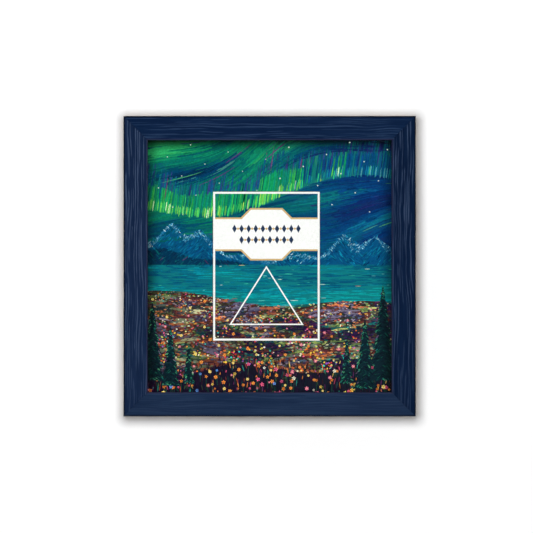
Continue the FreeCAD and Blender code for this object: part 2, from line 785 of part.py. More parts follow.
def make_bumper(name, across):
    """A soft button that keeps the foot of the frame as far off the wall as the hanger does its head."""
    body = new_body(name)
    sketch = new_sketch(body, f"{name}_rim", "XZ_Plane", f"-{BACK}")
    add_circle(sketch, across, f"{REBATE_EDGE} / 2", "Sizes.bumper_radius")
    pad(body, sketch, f"{name}_button", PROUD, backwards=True)
    crown = value(f"{BACK} + {PROUD}")
    chamfer(
        body,
        f"{name}_crown",
        lambda edge: abs(edge.BoundBox.YMin - crown) < 1e-4 and edge.BoundBox.YLength < 1e-4,
        "Sizes.bumper_bevel",
    )


for side_name in SIDES:
    make_rail(side_name)
for upright_name in ("bottom", "top"):
    for across_name in ("left", "right"):
        make_corner_nail(upright_name, across_name)
make_sheet("glazing", LIP_BACK, "Sizes.glazing_thickness", [SHEET])
make_sheet("printed_sheet", PAPER_FRONT, "Sizes.paper_thickness", [SHEET, WINDOW])
make_sheet("mount_board", PAPER_BACK, "Sizes.mount_thickness", [SHEET, WINDOW])
make_sheet("card", PAPER_FRONT, "Sizes.paper_thickness", [CARD])
make_sheet("card_pad", PAPER_BACK, "Sizes.mount_thickness", [CARD])
make_sheet("backing_board", MOUNT_BACK, "Sizes.backing_thickness", [SHEET])
make_card_figures()
paper_face = outline_face(SHEET).cut(outline_face(WINDOW)).Faces[0]
print_fields(paper_face, outline_face(CARD))
print_details(paper_face, outline_face(CARD))
for side_name in SIDES:
    make_tabs(side_name)
make_hanger()
for number, across_place in enumerate(PIN_PLACES, start=1):
    make_pin(f"hanger_pin_{number}", across_place)
make_bumper("bumper_left", "-(Sizes.outer_width / 2 - Sizes.bumper_inset)")
make_bumper("bumper_right", "(Sizes.outer_width / 2 - Sizes.bumper_inset)")


def check_and_write():
    """Stops on a failed object or an unsound piece, and otherwise writes each piece to its own file."""
    doc.recompute()
    for item in doc.Objects:
        if {"Invalid", "Error"} & set(item.State):
            raise RuntimeError(f"{item.Label} failed: {item.State}")
    for piece in pieces:
        shape = piece.Shape
        if shape.isNull() or not shape.isValid() or not shape.Solids:
            raise RuntimeError(f"{piece.Label} is not a sound solid")
    os.makedirs("parts", exist_ok=True)
    for piece in pieces:
        piece.Shape.exportStep(f"parts/{piece.Label}.step")
        print(f"{piece.Label}: {piece.Shape.Volume:.1f} mm3, {len(piece.Shape.Solids)} solid")


check_and_write()
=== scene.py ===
import math
import random

import bmesh
import bpy
from mathutils import Matrix, Vector, noise
from mathutils.bvhtree import BVHTree


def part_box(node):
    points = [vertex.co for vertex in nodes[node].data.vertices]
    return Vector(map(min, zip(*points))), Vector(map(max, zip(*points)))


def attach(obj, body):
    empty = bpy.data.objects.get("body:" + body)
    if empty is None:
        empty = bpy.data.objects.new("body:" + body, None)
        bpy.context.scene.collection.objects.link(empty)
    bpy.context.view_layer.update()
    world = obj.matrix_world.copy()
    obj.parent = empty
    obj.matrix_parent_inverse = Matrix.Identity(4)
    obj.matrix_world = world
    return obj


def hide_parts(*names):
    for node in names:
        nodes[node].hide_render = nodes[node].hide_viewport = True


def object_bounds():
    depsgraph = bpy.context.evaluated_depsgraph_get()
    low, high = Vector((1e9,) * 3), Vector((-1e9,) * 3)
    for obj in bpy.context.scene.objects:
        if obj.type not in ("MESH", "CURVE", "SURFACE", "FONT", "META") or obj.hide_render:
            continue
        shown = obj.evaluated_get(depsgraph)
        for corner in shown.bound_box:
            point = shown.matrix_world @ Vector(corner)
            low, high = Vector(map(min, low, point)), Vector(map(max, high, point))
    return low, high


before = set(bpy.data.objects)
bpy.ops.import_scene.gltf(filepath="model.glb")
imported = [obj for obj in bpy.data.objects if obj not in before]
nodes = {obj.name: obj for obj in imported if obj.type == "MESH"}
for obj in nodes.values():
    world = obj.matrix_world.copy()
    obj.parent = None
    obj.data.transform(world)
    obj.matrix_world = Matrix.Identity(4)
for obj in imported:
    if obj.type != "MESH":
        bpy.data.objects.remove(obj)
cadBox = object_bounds()
print("stage: frame loaded,", len(nodes), "nodes")


# General helpers


def tone(red, green, blue):
    # a colour written as 0 to 255, made linear
    values = []
    for part in (red, green, blue):
        part = part / 255
        values.append(part / 12.92 if part <= 0.04045 else ((part + 0.055) / 1.055) ** 2.4)
    return (*values, 1.0)


def addNode(tree, kind, inputs=None, **settings):
    # inputs are numbers, colours or sockets, by the socket's name or place
    node = tree.nodes.new("ShaderNode" + kind)
    for key, setting in settings.items():
        setattr(node, key, setting)
    for key, given in (inputs or {}).items():
        if isinstance(given, bpy.types.NodeSocket):
            tree.links.new(given, node.inputs[key])
        else:
            node.inputs[key].default_value = given
    return node


def startMaterial(name, **settings):
    # the settings go on the shader's own sockets
    material = bpy.data.materials.new(name)
    material.use_nodes = True
    tree = material.node_tree
    shader = tree.nodes["Principled BSDF"]
    for key, setting in settings.items():
        shader.inputs[key.replace("_", " ")].default_value = setting
    return material, tree


def addRamp(tree, factor, stops):
    # stops are (position, colour) pairs
    ramp = addNode(tree, "ValToRGB", {"Fac": factor})
    elements = ramp.color_ramp.elements
    while len(elements) < len(stops):
        elements.new(0.5)
    for element, (position, colour) in zip(elements, stops):
        element.position = position
        element.color = colour
    return ramp.outputs["Color"]


def calc(tree, operation, *given, **settings):
    return addNode(tree, "Math", dict(enumerate(given)), operation=operation, **settings).outputs[0]


def remap(tree, factor, fromMin=0.0, fromMax=1.0, toMin=0.0, toMax=1.0):
    settings = {"Value": factor, "From Min": fromMin, "From Max": fromMax, "To Min": toMin, "To Max": toMax}
    return addNode(tree, "MapRange", settings).outputs[0]


def mixColours(tree, factor, first, second, blend="MIX"):
    # a Mix node's colour sockets are its inputs 6 and 7 and its output 2
    return addNode(tree, "Mix", {0: factor, 6: first, 7: second}, data_type="RGBA", blend_type=blend).outputs[2]


def objectPlace(tree):
    return addNode(tree, "TexCoord").outputs["Object"]


def axesOf(tree, vector):
    return addNode(tree, "SeparateXYZ", {"Vector": vector}).outputs


def addNoise(tree, scale, detail=3.0, roughness=0.55, distortion=0.0, turn=0.0):
    # noise on Object coordinates, stretched along each axis and turned by degrees in the face of the print
    if isinstance(scale, (int, float)):
        scale = (scale, scale, scale)
    turns = (0, math.radians(turn), 0)
    place = addNode(tree, "Mapping", {"Vector": objectPlace(tree), "Scale": scale, "Rotation": turns}).outputs[0]
    settings = {"Vector": place, "Scale": 1.0, "Detail": detail, "Roughness": roughness, "Distortion": distortion}
    return addNode(tree, "TexNoise", settings).outputs["Fac"]


def attributeFactor(tree, name):
    return addNode(tree, "Attribute", attribute_name=name).outputs["Fac"]


def finishMaterial(material, colour, height=None, distance=0.0, strength=1.0):
    # the height, if any, becomes a bump
    tree = material.node_tree
    shader = tree.nodes["Principled BSDF"]
    tree.links.new(colour, shader.inputs["Base Color"])
    if height is not None:
        bump = addNode(tree, "Bump", {"Height": height, "Distance": distance, "Strength": strength})
        tree.links.new(bump.outputs["Normal"], shader.inputs["Normal"])
    return material


def linkSurface(tree, node):
    # in place of the usual shader
    tree.nodes.remove(tree.nodes["Principled BSDF"])
    tree.links.new(node.outputs[0], tree.nodes["Material Output"].inputs["Surface"])


def addObject(name, data):
    made = bpy.data.objects.new(name, data)
    bpy.context.scene.collection.objects.link(made)
    return made


def turnUpright():
    return Matrix.Rotation(math.radians(90), 4, "X")


def finishMesh(name, bm, materials, slotName, sharpAngle=40):
    # the piece's object sits at the origin, with its place in its mesh
    mesh = bpy.data.meshes.new(name)
    bm.to_mesh(mesh)
    bm.free()
    for polygon in mesh.polygons:
        polygon.use_smooth = True
    mesh.set_sharp_from_angle(angle=math.radians(sharpAngle))
    for material in materials:
        mesh.materials.append(material)
    piece = addObject(name, mesh)
    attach(piece, "root")
    return piece


def dress(nodeName, material):
    # gives a node of the frame its finish
    data = nodes[nodeName].data
    data.materials.clear()
    data.materials.append(material)


# Camera, straight on as in the photograph

cameraLook = {
    "imageSize": 533,  # pixels, both ways
    "pixelsPerMetre": 1697.0,  # at the front of the frame
    "frameCentrePixel": (269.64, 266.19),
    "lens": 200.0,
    "sensor": 36.0,
}


def setCamera(look):
    low, high = cadBox
    half = look["imageSize"] / 2
    centre = (low + high) / 2
    width = look["imageSize"] / look["pixelsPerMetre"]
    away = width * look["lens"] / look["sensor"]
    data = bpy.data.cameras.new("viewCamera")
    data.lens = look["lens"]
    data.sensor_width = look["sensor"]
    data.clip_start = 0.01
    data.clip_end = 20
    camera = addObject("viewCamera", data)
    camera.location = (
        centre.x - (look["frameCentrePixel"][0] - half) / look["pixelsPerMetre"],
        low.y - away,
        centre.z + (look["frameCentrePixel"][1] - half) / look["pixelsPerMetre"],
    )
    camera.rotation_euler = (math.radians(90), 0, 0)
    bpy.context.scene.camera = camera


setCamera(cameraLook)


# The rails: navy stain over open grain, bare wood behind

railWays = {
    "bottom_rail": {"along": Vector((1, 0, 0)), "inward": Vector((0, 0, 1)), "seed": 11, "fadeDown": 0.0},
    "top_rail": {"along": Vector((1, 0, 0)), "inward": Vector((0, 0, -1)), "seed": 23, "fadeDown": 0.0},
    "left_rail": {"along": Vector((0, 0, 1)), "inward": Vector((1, 0, 0)), "seed": 37, "fadeDown": 0.6},
    "right_rail": {"along": Vector((0, 0, 1)), "inward": Vector((-1, 0, 0)), "seed": 41, "fadeDown": 0.6},
}
railColours = {
    # base, darker base, streak; the bottom and left rails lighter, the top and right ones darker
    "bottom_rail": (tone(30, 47, 73), tone(22, 38, 64), tone(48, 64, 92)),
    "top_rail": (tone(14, 34, 64), tone(6, 25, 54), tone(54, 77, 110)),
    "left_rail": (tone(21, 37, 65), tone(14, 30, 57), tone(76, 94, 124)),
    "right_rail": (tone(10, 28, 55), tone(5, 21, 47), tone(66, 84, 114)),
}
railGrain = {
    "alongStep": 0.0016,
    "acrossStep": 0.00022,
    "sideStep": 0.0005,
    "flowSwing": 0.0018,  # how far the grain wanders sideways
    "flowLength": 0.045,
    "flowWidth": 0.010,
    "ripple": 0.0006,  # and its finer waver
    "rippleLength": 0.013,
    "lineSpacing": 0.0014,
    "streakLift": 0.00003,
    "poreDepth": 0.00010,
    # how strongly each rail shows its lighter streaks, strongest on the uprights and faintest on the bottom rail
    "streaks": {"bottom_rail": 0.4, "top_rail": 0.7, "left_rail": 1.0, "right_rail": 1.0},
    "streak": {
        "perSquareCm": 5.2, "length": (0.008, 0.042), "width": (0.00042, 0.00064), "strength": (0.4, 1.0), "shift": 0.0,
    },
    "pore": {
        "perSquareCm": 9.0, "length": (0.003, 0.018), "width": (0.0004, 0.0008), "strength": (0.3, 1.0), "shift": 0.5,
    },
    "wrap": 0.006,  # the pattern runs on this far past the sight edge, for the lip
    "laneWidth": 0.001,
    "rubbedReach": 0.0009,  # how far the rubbed colour comes in from the sight edge, and the painted shade from the outer rim
    "rimShadeReach": 0.0014,
    "edgeFade": 0.0006,  # relief stops this far from an arris or a mitre
}


def railPlaces(railName):
    # the rail's outer face along its inward way, its front, and half its length
    low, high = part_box(railName)
    way = railWays[railName]
    outer = min(low.dot(way["inward"]), high.dot(way["inward"]))
    middle = (low + high).dot(way["along"]) / 2
    half = abs((high - low).dot(way["along"])) / 2
    width = abs((high - low).dot(way["inward"]))
    return {"outer": outer, "front": low.y, "back": high.y, "middle": middle, "half": half, "width": width}


def cutSkin(bm, skin, normal, start, length, step):
    # splits the marked faces along a row of parallel planes, one step apart
    for position in (start + (i + 0.5) * step for i in range(int(length / step))):
        faces = [face for face in bm.faces if face[skin]]
        edges = dict.fromkeys(edge for face in faces for edge in face.edges)
        verts = dict.fromkeys(vert for face in faces for vert in face.verts)
        geometry = faces + list(edges) + list(verts)
        bmesh.ops.bisect_plane(bm, geom=geometry, dist=1e-7, plane_co=normal * position, plane_no=normal)


def makeStreaks(rng, places, look):
    # lines along the grain, at a rough spacing that keeps them apart, and sorted into lanes by their place across
    lanes = {}
    area = 2 * places["half"] * (places["width"] + places["back"] - places["front"]) * 1e4
    lowest, highest = places["front"] - places["back"], places["width"] + railGrain["wrap"]
    spacing, laneWidth = railGrain["lineSpacing"], railGrain["laneWidth"]
    for _ in range(int(area * look["perSquareCm"])):
        line = rng.randrange(int((highest - lowest) / spacing)) + look["shift"]
        along = rng.uniform(-places["half"], places["half"])
        across = lowest + line * spacing + rng.gauss(0, 0.14 * spacing)
        reach, halfWidth = rng.uniform(*look["length"]) / 2, rng.uniform(*look["width"]) / 2
        streak = (along, across, reach, halfWidth, rng.uniform(*look["strength"]))
        first, last = (math.floor(side / laneWidth) for side in (across - halfWidth, across + halfWidth))
        for lane in range(first, last + 1):
            lanes.setdefault(lane, []).append(streak)
    return lanes


def strongestStreak(lanes, along, across):
    # a place looks only at the streaks of its own lane
    best = 0.0
    for middle, line, reach, halfWidth, strength in lanes.get(math.floor(across / railGrain["laneWidth"]), ()):
        side, end = abs(across - line) / halfWidth, abs(along - middle) / reach
        if side < 1 and end < 1:
            best = max(best, strength * min(1.0, 1.8 * (1 - side)) * min(1.0, (1 - end) * 3))
    return best


def cutRail(railName):
    # a copy of the rail, with its stained faces cut fine enough for the grain
    way, places = railWays[railName], railPlaces(railName)
    bm = bmesh.new()
    bm.from_mesh(nodes[railName].data)
    bmesh.ops.remove_doubles(bm, verts=bm.verts, dist=1e-6)
    skin = bm.faces.layers.int.new("skin")
    for face in bm.faces:
        normal = face.normal
        forward = -normal.y
        outward = -normal.dot(way["inward"])
        sideways = abs(normal.dot(way["along"]))
        centre = face.calc_center_median()
        isLip = outward < -0.9 and centre.y < places["front"] + 0.0051
        isSkin = sideways < 0.3 and (forward > 0.05 or outward > 0.9 or isLip)
        face[skin] = int(isSkin)
        face.material_index = 0 if isSkin or sideways > 0.3 else 1
    inSkin = [edge for edge in bm.edges if all(face[skin] for face in edge.link_faces)]
    bmesh.ops.dissolve_limit(bm, angle_limit=math.radians(0.5), verts=[], edges=inSkin)
    deep = places["back"] - places["front"]
    length = 2 * places["half"]
    cutSkin(bm, skin, way["along"], places["middle"] - places["half"], length, railGrain["alongStep"])
    cutSkin(bm, skin, way["inward"], places["outer"], places["width"], railGrain["acrossStep"])
    cutSkin(bm, skin, Vector((0, 1, 0)), places["front"], deep, railGrain["sideStep"])
    return bm, skin


def grainRail(railName, bm, skin):
    # lighter streaks and darker pores, laid along one wandering grain
    way, places = railWays[railName], railPlaces(railName)
    rng = random.Random(way["seed"])
    streakLane, poreLane = (makeStreaks(rng, places, railGrain[kind]) for kind in ("streak", "pore"))
    toneLayer, poreLayer, edgeLayer = (bm.verts.layers.float.new(name) for name in ("streak", "pore", "arris"))
    moves = []
    for vert in bm.verts:
        if not any(face[skin] for face in vert.link_faces):
            continue
        along = vert.co.dot(way["along"]) - places["middle"]
        inward = vert.co.dot(way["inward"]) - places["outer"]
        behind = vert.co.y - places["front"]
        unrolled = inward - behind if inward < places["width"] / 2 else inward + behind
        cell = Vector((along / railGrain["flowLength"], unrolled / railGrain["flowWidth"], way["seed"]))
        wave = Vector((along / railGrain["rippleLength"], unrolled / railGrain["flowWidth"], way["seed"] + 5))
        warped = unrolled + railGrain["flowSwing"] * noise.noise(cell) + railGrain["ripple"] * noise.noise(wave)
        streak = strongestStreak(streakLane, along, warped)
        streak *= 1 - way["fadeDown"] * (0.5 - along / (2 * places["half"]))
        pore = strongestStreak(poreLane, along, warped) * (1 - streak)
        vert[toneLayer] = streak
        vert[poreLayer] = pore
        # rubbed wear at the sight edge counts up, and painted shade at the outer rim, where its rounding turns from the
        # light, counts down
        rubbed = max(0.0, 1 - math.hypot(places["width"] - inward, behind) / railGrain["rubbedReach"])
        vert[edgeLayer] = rubbed - max(0.0, 1 - math.hypot(inward, behind) / railGrain["rimShadeReach"])
        mitreGap = places["half"] - abs(along) - inward
        arrisGap = min(max(abs(inward), behind), max(abs(places["width"] - inward), behind))
        fade = min(1.0, mitreGap / railGrain["edgeFade"], arrisGap / railGrain["edgeFade"])
        if fade > 0 and all(face[skin] for face in vert.link_faces):
            lift = railGrain["streakLift"] * (streak - 1) - railGrain["poreDepth"] * pore
            moves.append((vert, vert.normal * lift * fade))
    for vert, move in moves:
        vert.co += move


def makeRail(railName):
    bm, skin = cutRail(railName)
    grainRail(railName, bm, skin)
    materials = [stainedWood(railName), bareWoods[isUpright(railName)]]
    piece = finishMesh(railName.replace("_rail", "RailGrain"), bm, materials, "stained_wood")
    for polygon in piece.data.polygons:
        polygon.use_smooth = polygon.material_index == 0
    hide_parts(railName)


def isUpright(railName):
    return railWays[railName]["along"].z > 0.5


def grainNoise(tree, upright, fine, coarse, *settings):
    # noise drawn out along the rail
    return addNoise(tree, (fine, fine, coarse) if upright else (coarse, fine, fine), *settings)


def stainedWood(railName):
    base, dark, light = railColours[railName]
    material, tree = startMaterial(railName + "Stain", Roughness=0.72, Specular_IOR_Level=0.14)
    broadNoise = grainNoise(tree, isUpright(railName), 260, 22, 4, 0.6, 0.6)
    fineNoise = grainNoise(tree, isUpright(railName), 1400, 60, 3, 0.6, 0.3)
    stain = addRamp(tree, broadNoise, [(0.34, dark), (0.62, base)])
    worn = calc(tree, "MULTIPLY", attributeFactor(tree, "streak"), railGrain["streaks"][railName])
    wornPatchy = calc(tree, "MULTIPLY", worn, remap(tree, fineNoise, 0.3, 0.7, 0.55))
    streaked = mixColours(tree, wornPatchy, stain, light)
    pored = mixColours(tree, calc(tree, "MULTIPLY", attributeFactor(tree, "pore"), 0.75), streaked, dark)
    arris = attributeFactor(tree, "arris")
    rubbed = mixColours(tree, remap(tree, arris, toMax=0.5), pored, tone(62, 56, 84))
    # painted shade: the outer rim is darkened, where its rounding turns away from the light
    rimShaded = mixColours(tree, remap(tree, arris, fromMax=-0.6, toMax=0.9), rubbed, tone(4, 14, 32))
    return finishMaterial(material, rimShaded, fineNoise, 0.00006, 0.7)


def bareWood(name, upright, light, dark):
    # the grain runs along the rail, so the mitres show by it
    material, tree = startMaterial(name, Roughness=0.75, Specular_IOR_Level=0.2)
    rings = grainNoise(tree, upright, 330, 14, 3, 0.55, 0.5)
    fibres = grainNoise(tree, upright, 1700, 90, 4, 0.6, 0.2)
    ground = addRamp(tree, rings, [(0.36, dark), (0.5, light), (0.66, tone(222, 196, 158))])
    fleck = remap(tree, fibres, 0.52, 0.7, toMax=0.55)
    return finishMaterial(material, mixColours(tree, fleck, ground, tone(146, 108, 70)), fibres, 0.00008, 0.6)


bareWoods = {
    False: bareWood("bareWoodLevel", False, tone(208, 178, 136), tone(178, 142, 100)),
    True: bareWood("bareWoodUpright", True, tone(206, 176, 134), tone(176, 140, 98)),
}
for railName in railWays:
    makeRail(railName)
print("stage: rails grained")


# Glazing, sheets and boards


def glazingMaterial():
    material, tree = startMaterial("clearGlazing")
    clear = addNode(tree, "BsdfTransparent", {"Color": (0.985, 0.992, 0.99, 1)})
    gloss = addNode(tree, "BsdfGlossy", {"Color": (1, 1, 1, 1), "Roughness": 0.02})
    steep = calc(tree, "POWER", addNode(tree, "LayerWeight", {"Blend": 0.5}).outputs["Facing"], 5.0)
    share = remap(tree, steep, toMin=0.003, toMax=0.8)
    linkSurface(tree, addNode(tree, "MixShader", {0: share, 1: clear.outputs[0], 2: gloss.outputs[0]}))
    return material


def boardMaterial(name, colour, speck, grainScale=900, roughness=0.85):
    material, tree = startMaterial(name, Roughness=roughness, Specular_IOR_Level=0.2)
    fibres = addNoise(tree, (grainScale, grainScale, grainScale * 0.6), 5, 0.65, 0.4)
    mottle = addNoise(tree, 60)
    near = addRamp(tree, fibres, [(0.35, speck), (0.6, colour)])
    return finishMaterial(material, mixColours(tree, mottle, near, colour), fibres, 0.00008, 0.6)


def startInk(name):
    return startMaterial(name, Roughness=0.45, Specular_IOR_Level=0.12)


def inkMaterial(name, colour):
    material, tree = startInk(name)
    darker = tuple(part * 0.93 for part in colour[:3]) + (1.0,)
    return finishMaterial(material, addRamp(tree, addNoise(tree, 700, 4), [(0.35, darker), (0.6, colour)]))


dress("glazing", glazingMaterial())
paper = boardMaterial("whitePaper", tone(240, 240, 236), tone(228, 228, 222), 2200, 0.7)
dress("printed_sheet", paper)
dress("card", paper)
dress("mount_board", boardMaterial("greyBoard", tone(208, 206, 200), tone(190, 188, 180)))
dress("card_pad", boardMaterial("whiteBoard", tone(228, 228, 224), tone(214, 214, 208)))
dress("backing_board", boardMaterial("fibreboard", tone(150, 112, 74), tone(120, 84, 52), 700))
whiteInk = inkMaterial("whiteInk", tone(253, 252, 249))
for nodeName in ("card_border", "card_label", "card_triangle"):
    dress(nodeName, whiteInk)
dress("card_label_edging", inkMaterial("tanInk", tone(212, 178, 124)))
print("stage: sheets dressed")


# The printed landscape: fields of ink, under painted dabs

sightLeft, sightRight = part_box("left_rail")[1].x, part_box("right_rail")[0].x
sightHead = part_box("top_rail")[0].z
lipShade = {
    # painted shade: share of the light lost at the lip, and how fast it comes back
    "sides": (0.70, 0.0048),
    "head": (0.95, 0.0045),
}

fieldLooks = {
    # left and right colours, touch colour, stretch across and up, and turn in degrees; the meadow's own ramp
    "sky": ((10, 84, 100), (14, 56, 108), (34, 44, 106), (60, 240), -14),
    "aurora_glow": ((12, 106, 90), (16, 80, 118), (12, 78, 126), (120, 60), 8),
    "aurora": ((24, 146, 90), (16, 96, 118), (60, 164, 88), (160, 40), 8),
    "far_ridge": ((6, 80, 116), (8, 82, 128), (4, 60, 104), (140, 200), 30),
    "near_ridge": ((4, 52, 80), (6, 50, 88), (2, 34, 60), (140, 200), 20),
    "lake": ((14, 116, 122), (16, 122, 128), (12, 92, 118), (40, 420), 0),
    "meadow": [
        (0.30, 34, 22, 44), (0.38, 26, 58, 62), (0.44, 72, 74, 40), (0.50, 58, 34, 44), (0.55, 136, 66, 38),
        (0.61, 76, 64, 84), (0.68, 108, 100, 84),
    ],
    "bank": ((26, 14, 38), (22, 30, 40), (8, 8, 18), (240, 90), 80),
    "conifers": ((12, 34, 42), (14, 36, 46), (8, 22, 30), (300, 300), 40),
}
flowerColours = {
    "blooms_orange": (222, 118, 52),
    "blooms_yellow": (238, 202, 104),
    "blooms_pink": (206, 92, 122),
    "stars": (222, 234, 226),
}


def shadeInkUnderLip(tree, colour):
    # painted shade: the print is darkened beside the lip at its head and sides, where the lip's shadow falls
    place = axesOf(tree, objectPlace(tree))
    left, right = calc(tree, "SUBTRACT", place["X"], sightLeft), calc(tree, "SUBTRACT", sightRight, place["X"])
    side, head = calc(tree, "MINIMUM", left, right), calc(tree, "SUBTRACT", sightHead, place["Z"])
    for gap, (depth, reach) in ((side, lipShade["sides"]), (head, lipShade["head"])):
        power = calc(tree, "MULTIPLY", calc(tree, "MULTIPLY", gap, gap), -1 / reach ** 2)
        lost = calc(tree, "MULTIPLY", calc(tree, "EXPONENT", power), depth, use_clamp=True)
        colour = mixColours(tree, lost, colour, (0, 0, 0, 1))
    return colour


def fieldMaterial(name, look):
    left, right, touch, (wide, tall), turn = look
    low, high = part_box("printed_sheet")
    material, tree = startInk(name)
    across = remap(tree, axesOf(tree, objectPlace(tree))["X"], low.x, high.x)
    brush = addNoise(tree, (wide, 1, tall), 4, 0.6, 0.8, turn)
    shifted = calc(tree, "MULTIPLY_ADD", calc(tree, "SUBTRACT", brush, 0.5), 0.9, across)
    blended = addRamp(tree, shifted, [(0.1, tone(*left)), (0.9, tone(*right))])
    touched = mixColours(tree, remap(tree, brush, 0.5, 0.75, 0, 0.8), blended, tone(*touch))
    return finishMaterial(material, shadeInkUnderLip(tree, touched))


def meadowMaterial(name, look):
    # soft patches of ground that change from one warm or cool colour to the next
    material, tree = startInk(name)
    patches = addNoise(tree, (75, 1, 150), 3, 0.6, 0.8, 6)
    ground = addRamp(tree, patches, [(place, tone(*colour)) for place, *colour in look])
    dark = remap(tree, addNoise(tree, (620, 1, 900), 2, 0.6, 0.4), 0.62, 0.36, 0, 0.75)
    return finishMaterial(material, shadeInkUnderLip(tree, mixColours(tree, dark, ground, tone(24, 16, 30))))


def dressOwners(part, ink):
    # the same part of the picture on the sheet and on the card
    for nodeName in ("print_" + part, "card_" + part):
        if nodeName in nodes:
            dress(nodeName, ink)


for part, look in fieldLooks.items():
    dressOwners(part, (meadowMaterial if part == "meadow" else fieldMaterial)(part + "Ink", look))
for part, colour in flowerColours.items():
    dressOwners(part, inkMaterial(part + "Ink", tone(*colour)))


def treeOf(names):
    # finds which of some nodes lies first behind a place
    points, faces, owners = [], [], []
    for name in names:
        data = nodes[name].data
        start = len(points)
        points.extend(vert.co.copy() for vert in data.vertices)
        for polygon in data.polygons:
            faces.append([start + index for index in polygon.vertices])
            owners.append(name)
    return BVHTree.FromPolygons(points, faces), owners


fieldNames = [f"{owner}_{field}" for owner in ("print", "card") for field in fieldLooks]
fieldNames = [name for name in fieldNames if name in nodes and "conifers" not in name]
fieldTree, fieldOwners = treeOf(fieldNames)
coniferTree, _ = treeOf(["print_conifers"])


def fieldAt(x, z):
    # the field's name and whether it lies on the card, or nothing off the sheet
    hit = fieldTree.ray_cast(Vector((x, -0.05, z)), Vector((0, 1, 0)))
    if hit[2] is None:
        return None, False
    owner, _, field = fieldOwners[hit[2]].partition("_")
    return field, owner == "card"


def isConifer(x, z):
    return coniferTree.ray_cast(Vector((x, -0.05, z)), Vector((0, 1, 0)))[2] is not None


paintLook = {
    "roughness": 0.42,
    "variation": 0.22,  # of the colour, between the bristles
    "bristles": 900,
    "crown": 0.8,  # a dab's front face in its back one
    "unevenness": 0.000012,  # the most that chance adds to a dab's thickness
    "wetMost": 80,  # dabs in a brushful
    "narrowest": 0.00018,  # a dab that is trimmed to less than this is left out
}


def greyOf(tree, level):
    return addNode(tree, "CombineColor", {0: level, 1: level, 2: level}).outputs[0]


def paintMaterial(look):
    material, tree = startMaterial("brushPaint", Roughness=look["roughness"], Specular_IOR_Level=0.12)
    paint = addNode(tree, "Attribute", attribute_name="paint").outputs["Color"]
    bristles = addNoise(tree, look["bristles"], 4, 0.6, 0.5)
    grey = greyOf(tree, remap(tree, bristles, 0.3, 0.7, 1 - look["variation"], 1 + look["variation"]))
    return finishMaterial(material, mixColours(tree, 1.0, paint, grey, "MULTIPLY"), bristles, 0.00003, 0.4)


brushPaint = paintMaterial(paintLook)
sheetLow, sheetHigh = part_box("printed_sheet")
cardLow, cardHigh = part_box("card")
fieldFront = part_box("print_sky")[0].y
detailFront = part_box("print_conifers")[0].y
windowGap = 0.0002


def shadeUnderLip(x, z, colour):
    # painted shade: a dab's colour is darkened beside the lip at the head and sides, where the lip's shadow falls
    kept = 1.0
    for gap, look in ((min(x - sightLeft, sightRight - x), "sides"), (sightHead - z, "head")):
        depth, reach = lipShade[look]
        kept *= 1 - depth * math.exp(-((max(0.0, gap) / reach) ** 2))
    return tuple(part * kept for part in colour[:3]) + (1.0,)


def newPaintMesh():
    bm = bmesh.new()
    bm.verts.layers.float_color.new("paint")
    return bm


def stampDisc(bm, x, front, z, sides, length, width, thickness, crown, angle=0.0):
    # a thin flat disc with its back on the print, drawn in a little at its front
    place = Matrix.Translation((x, front - thickness / 2, z))
    turn = Matrix.Rotation(-angle, 4, "Y") @ turnUpright()
    made = bmesh.ops.create_cone(
        bm, cap_ends=True, segments=sides, radius1=1.0, radius2=crown, depth=thickness,
        matrix=place @ turn @ Matrix.Diagonal((length / 2, width / 2, 1, 1)),
    )
    return made["verts"], bm.verts.layers.float_color["paint"]


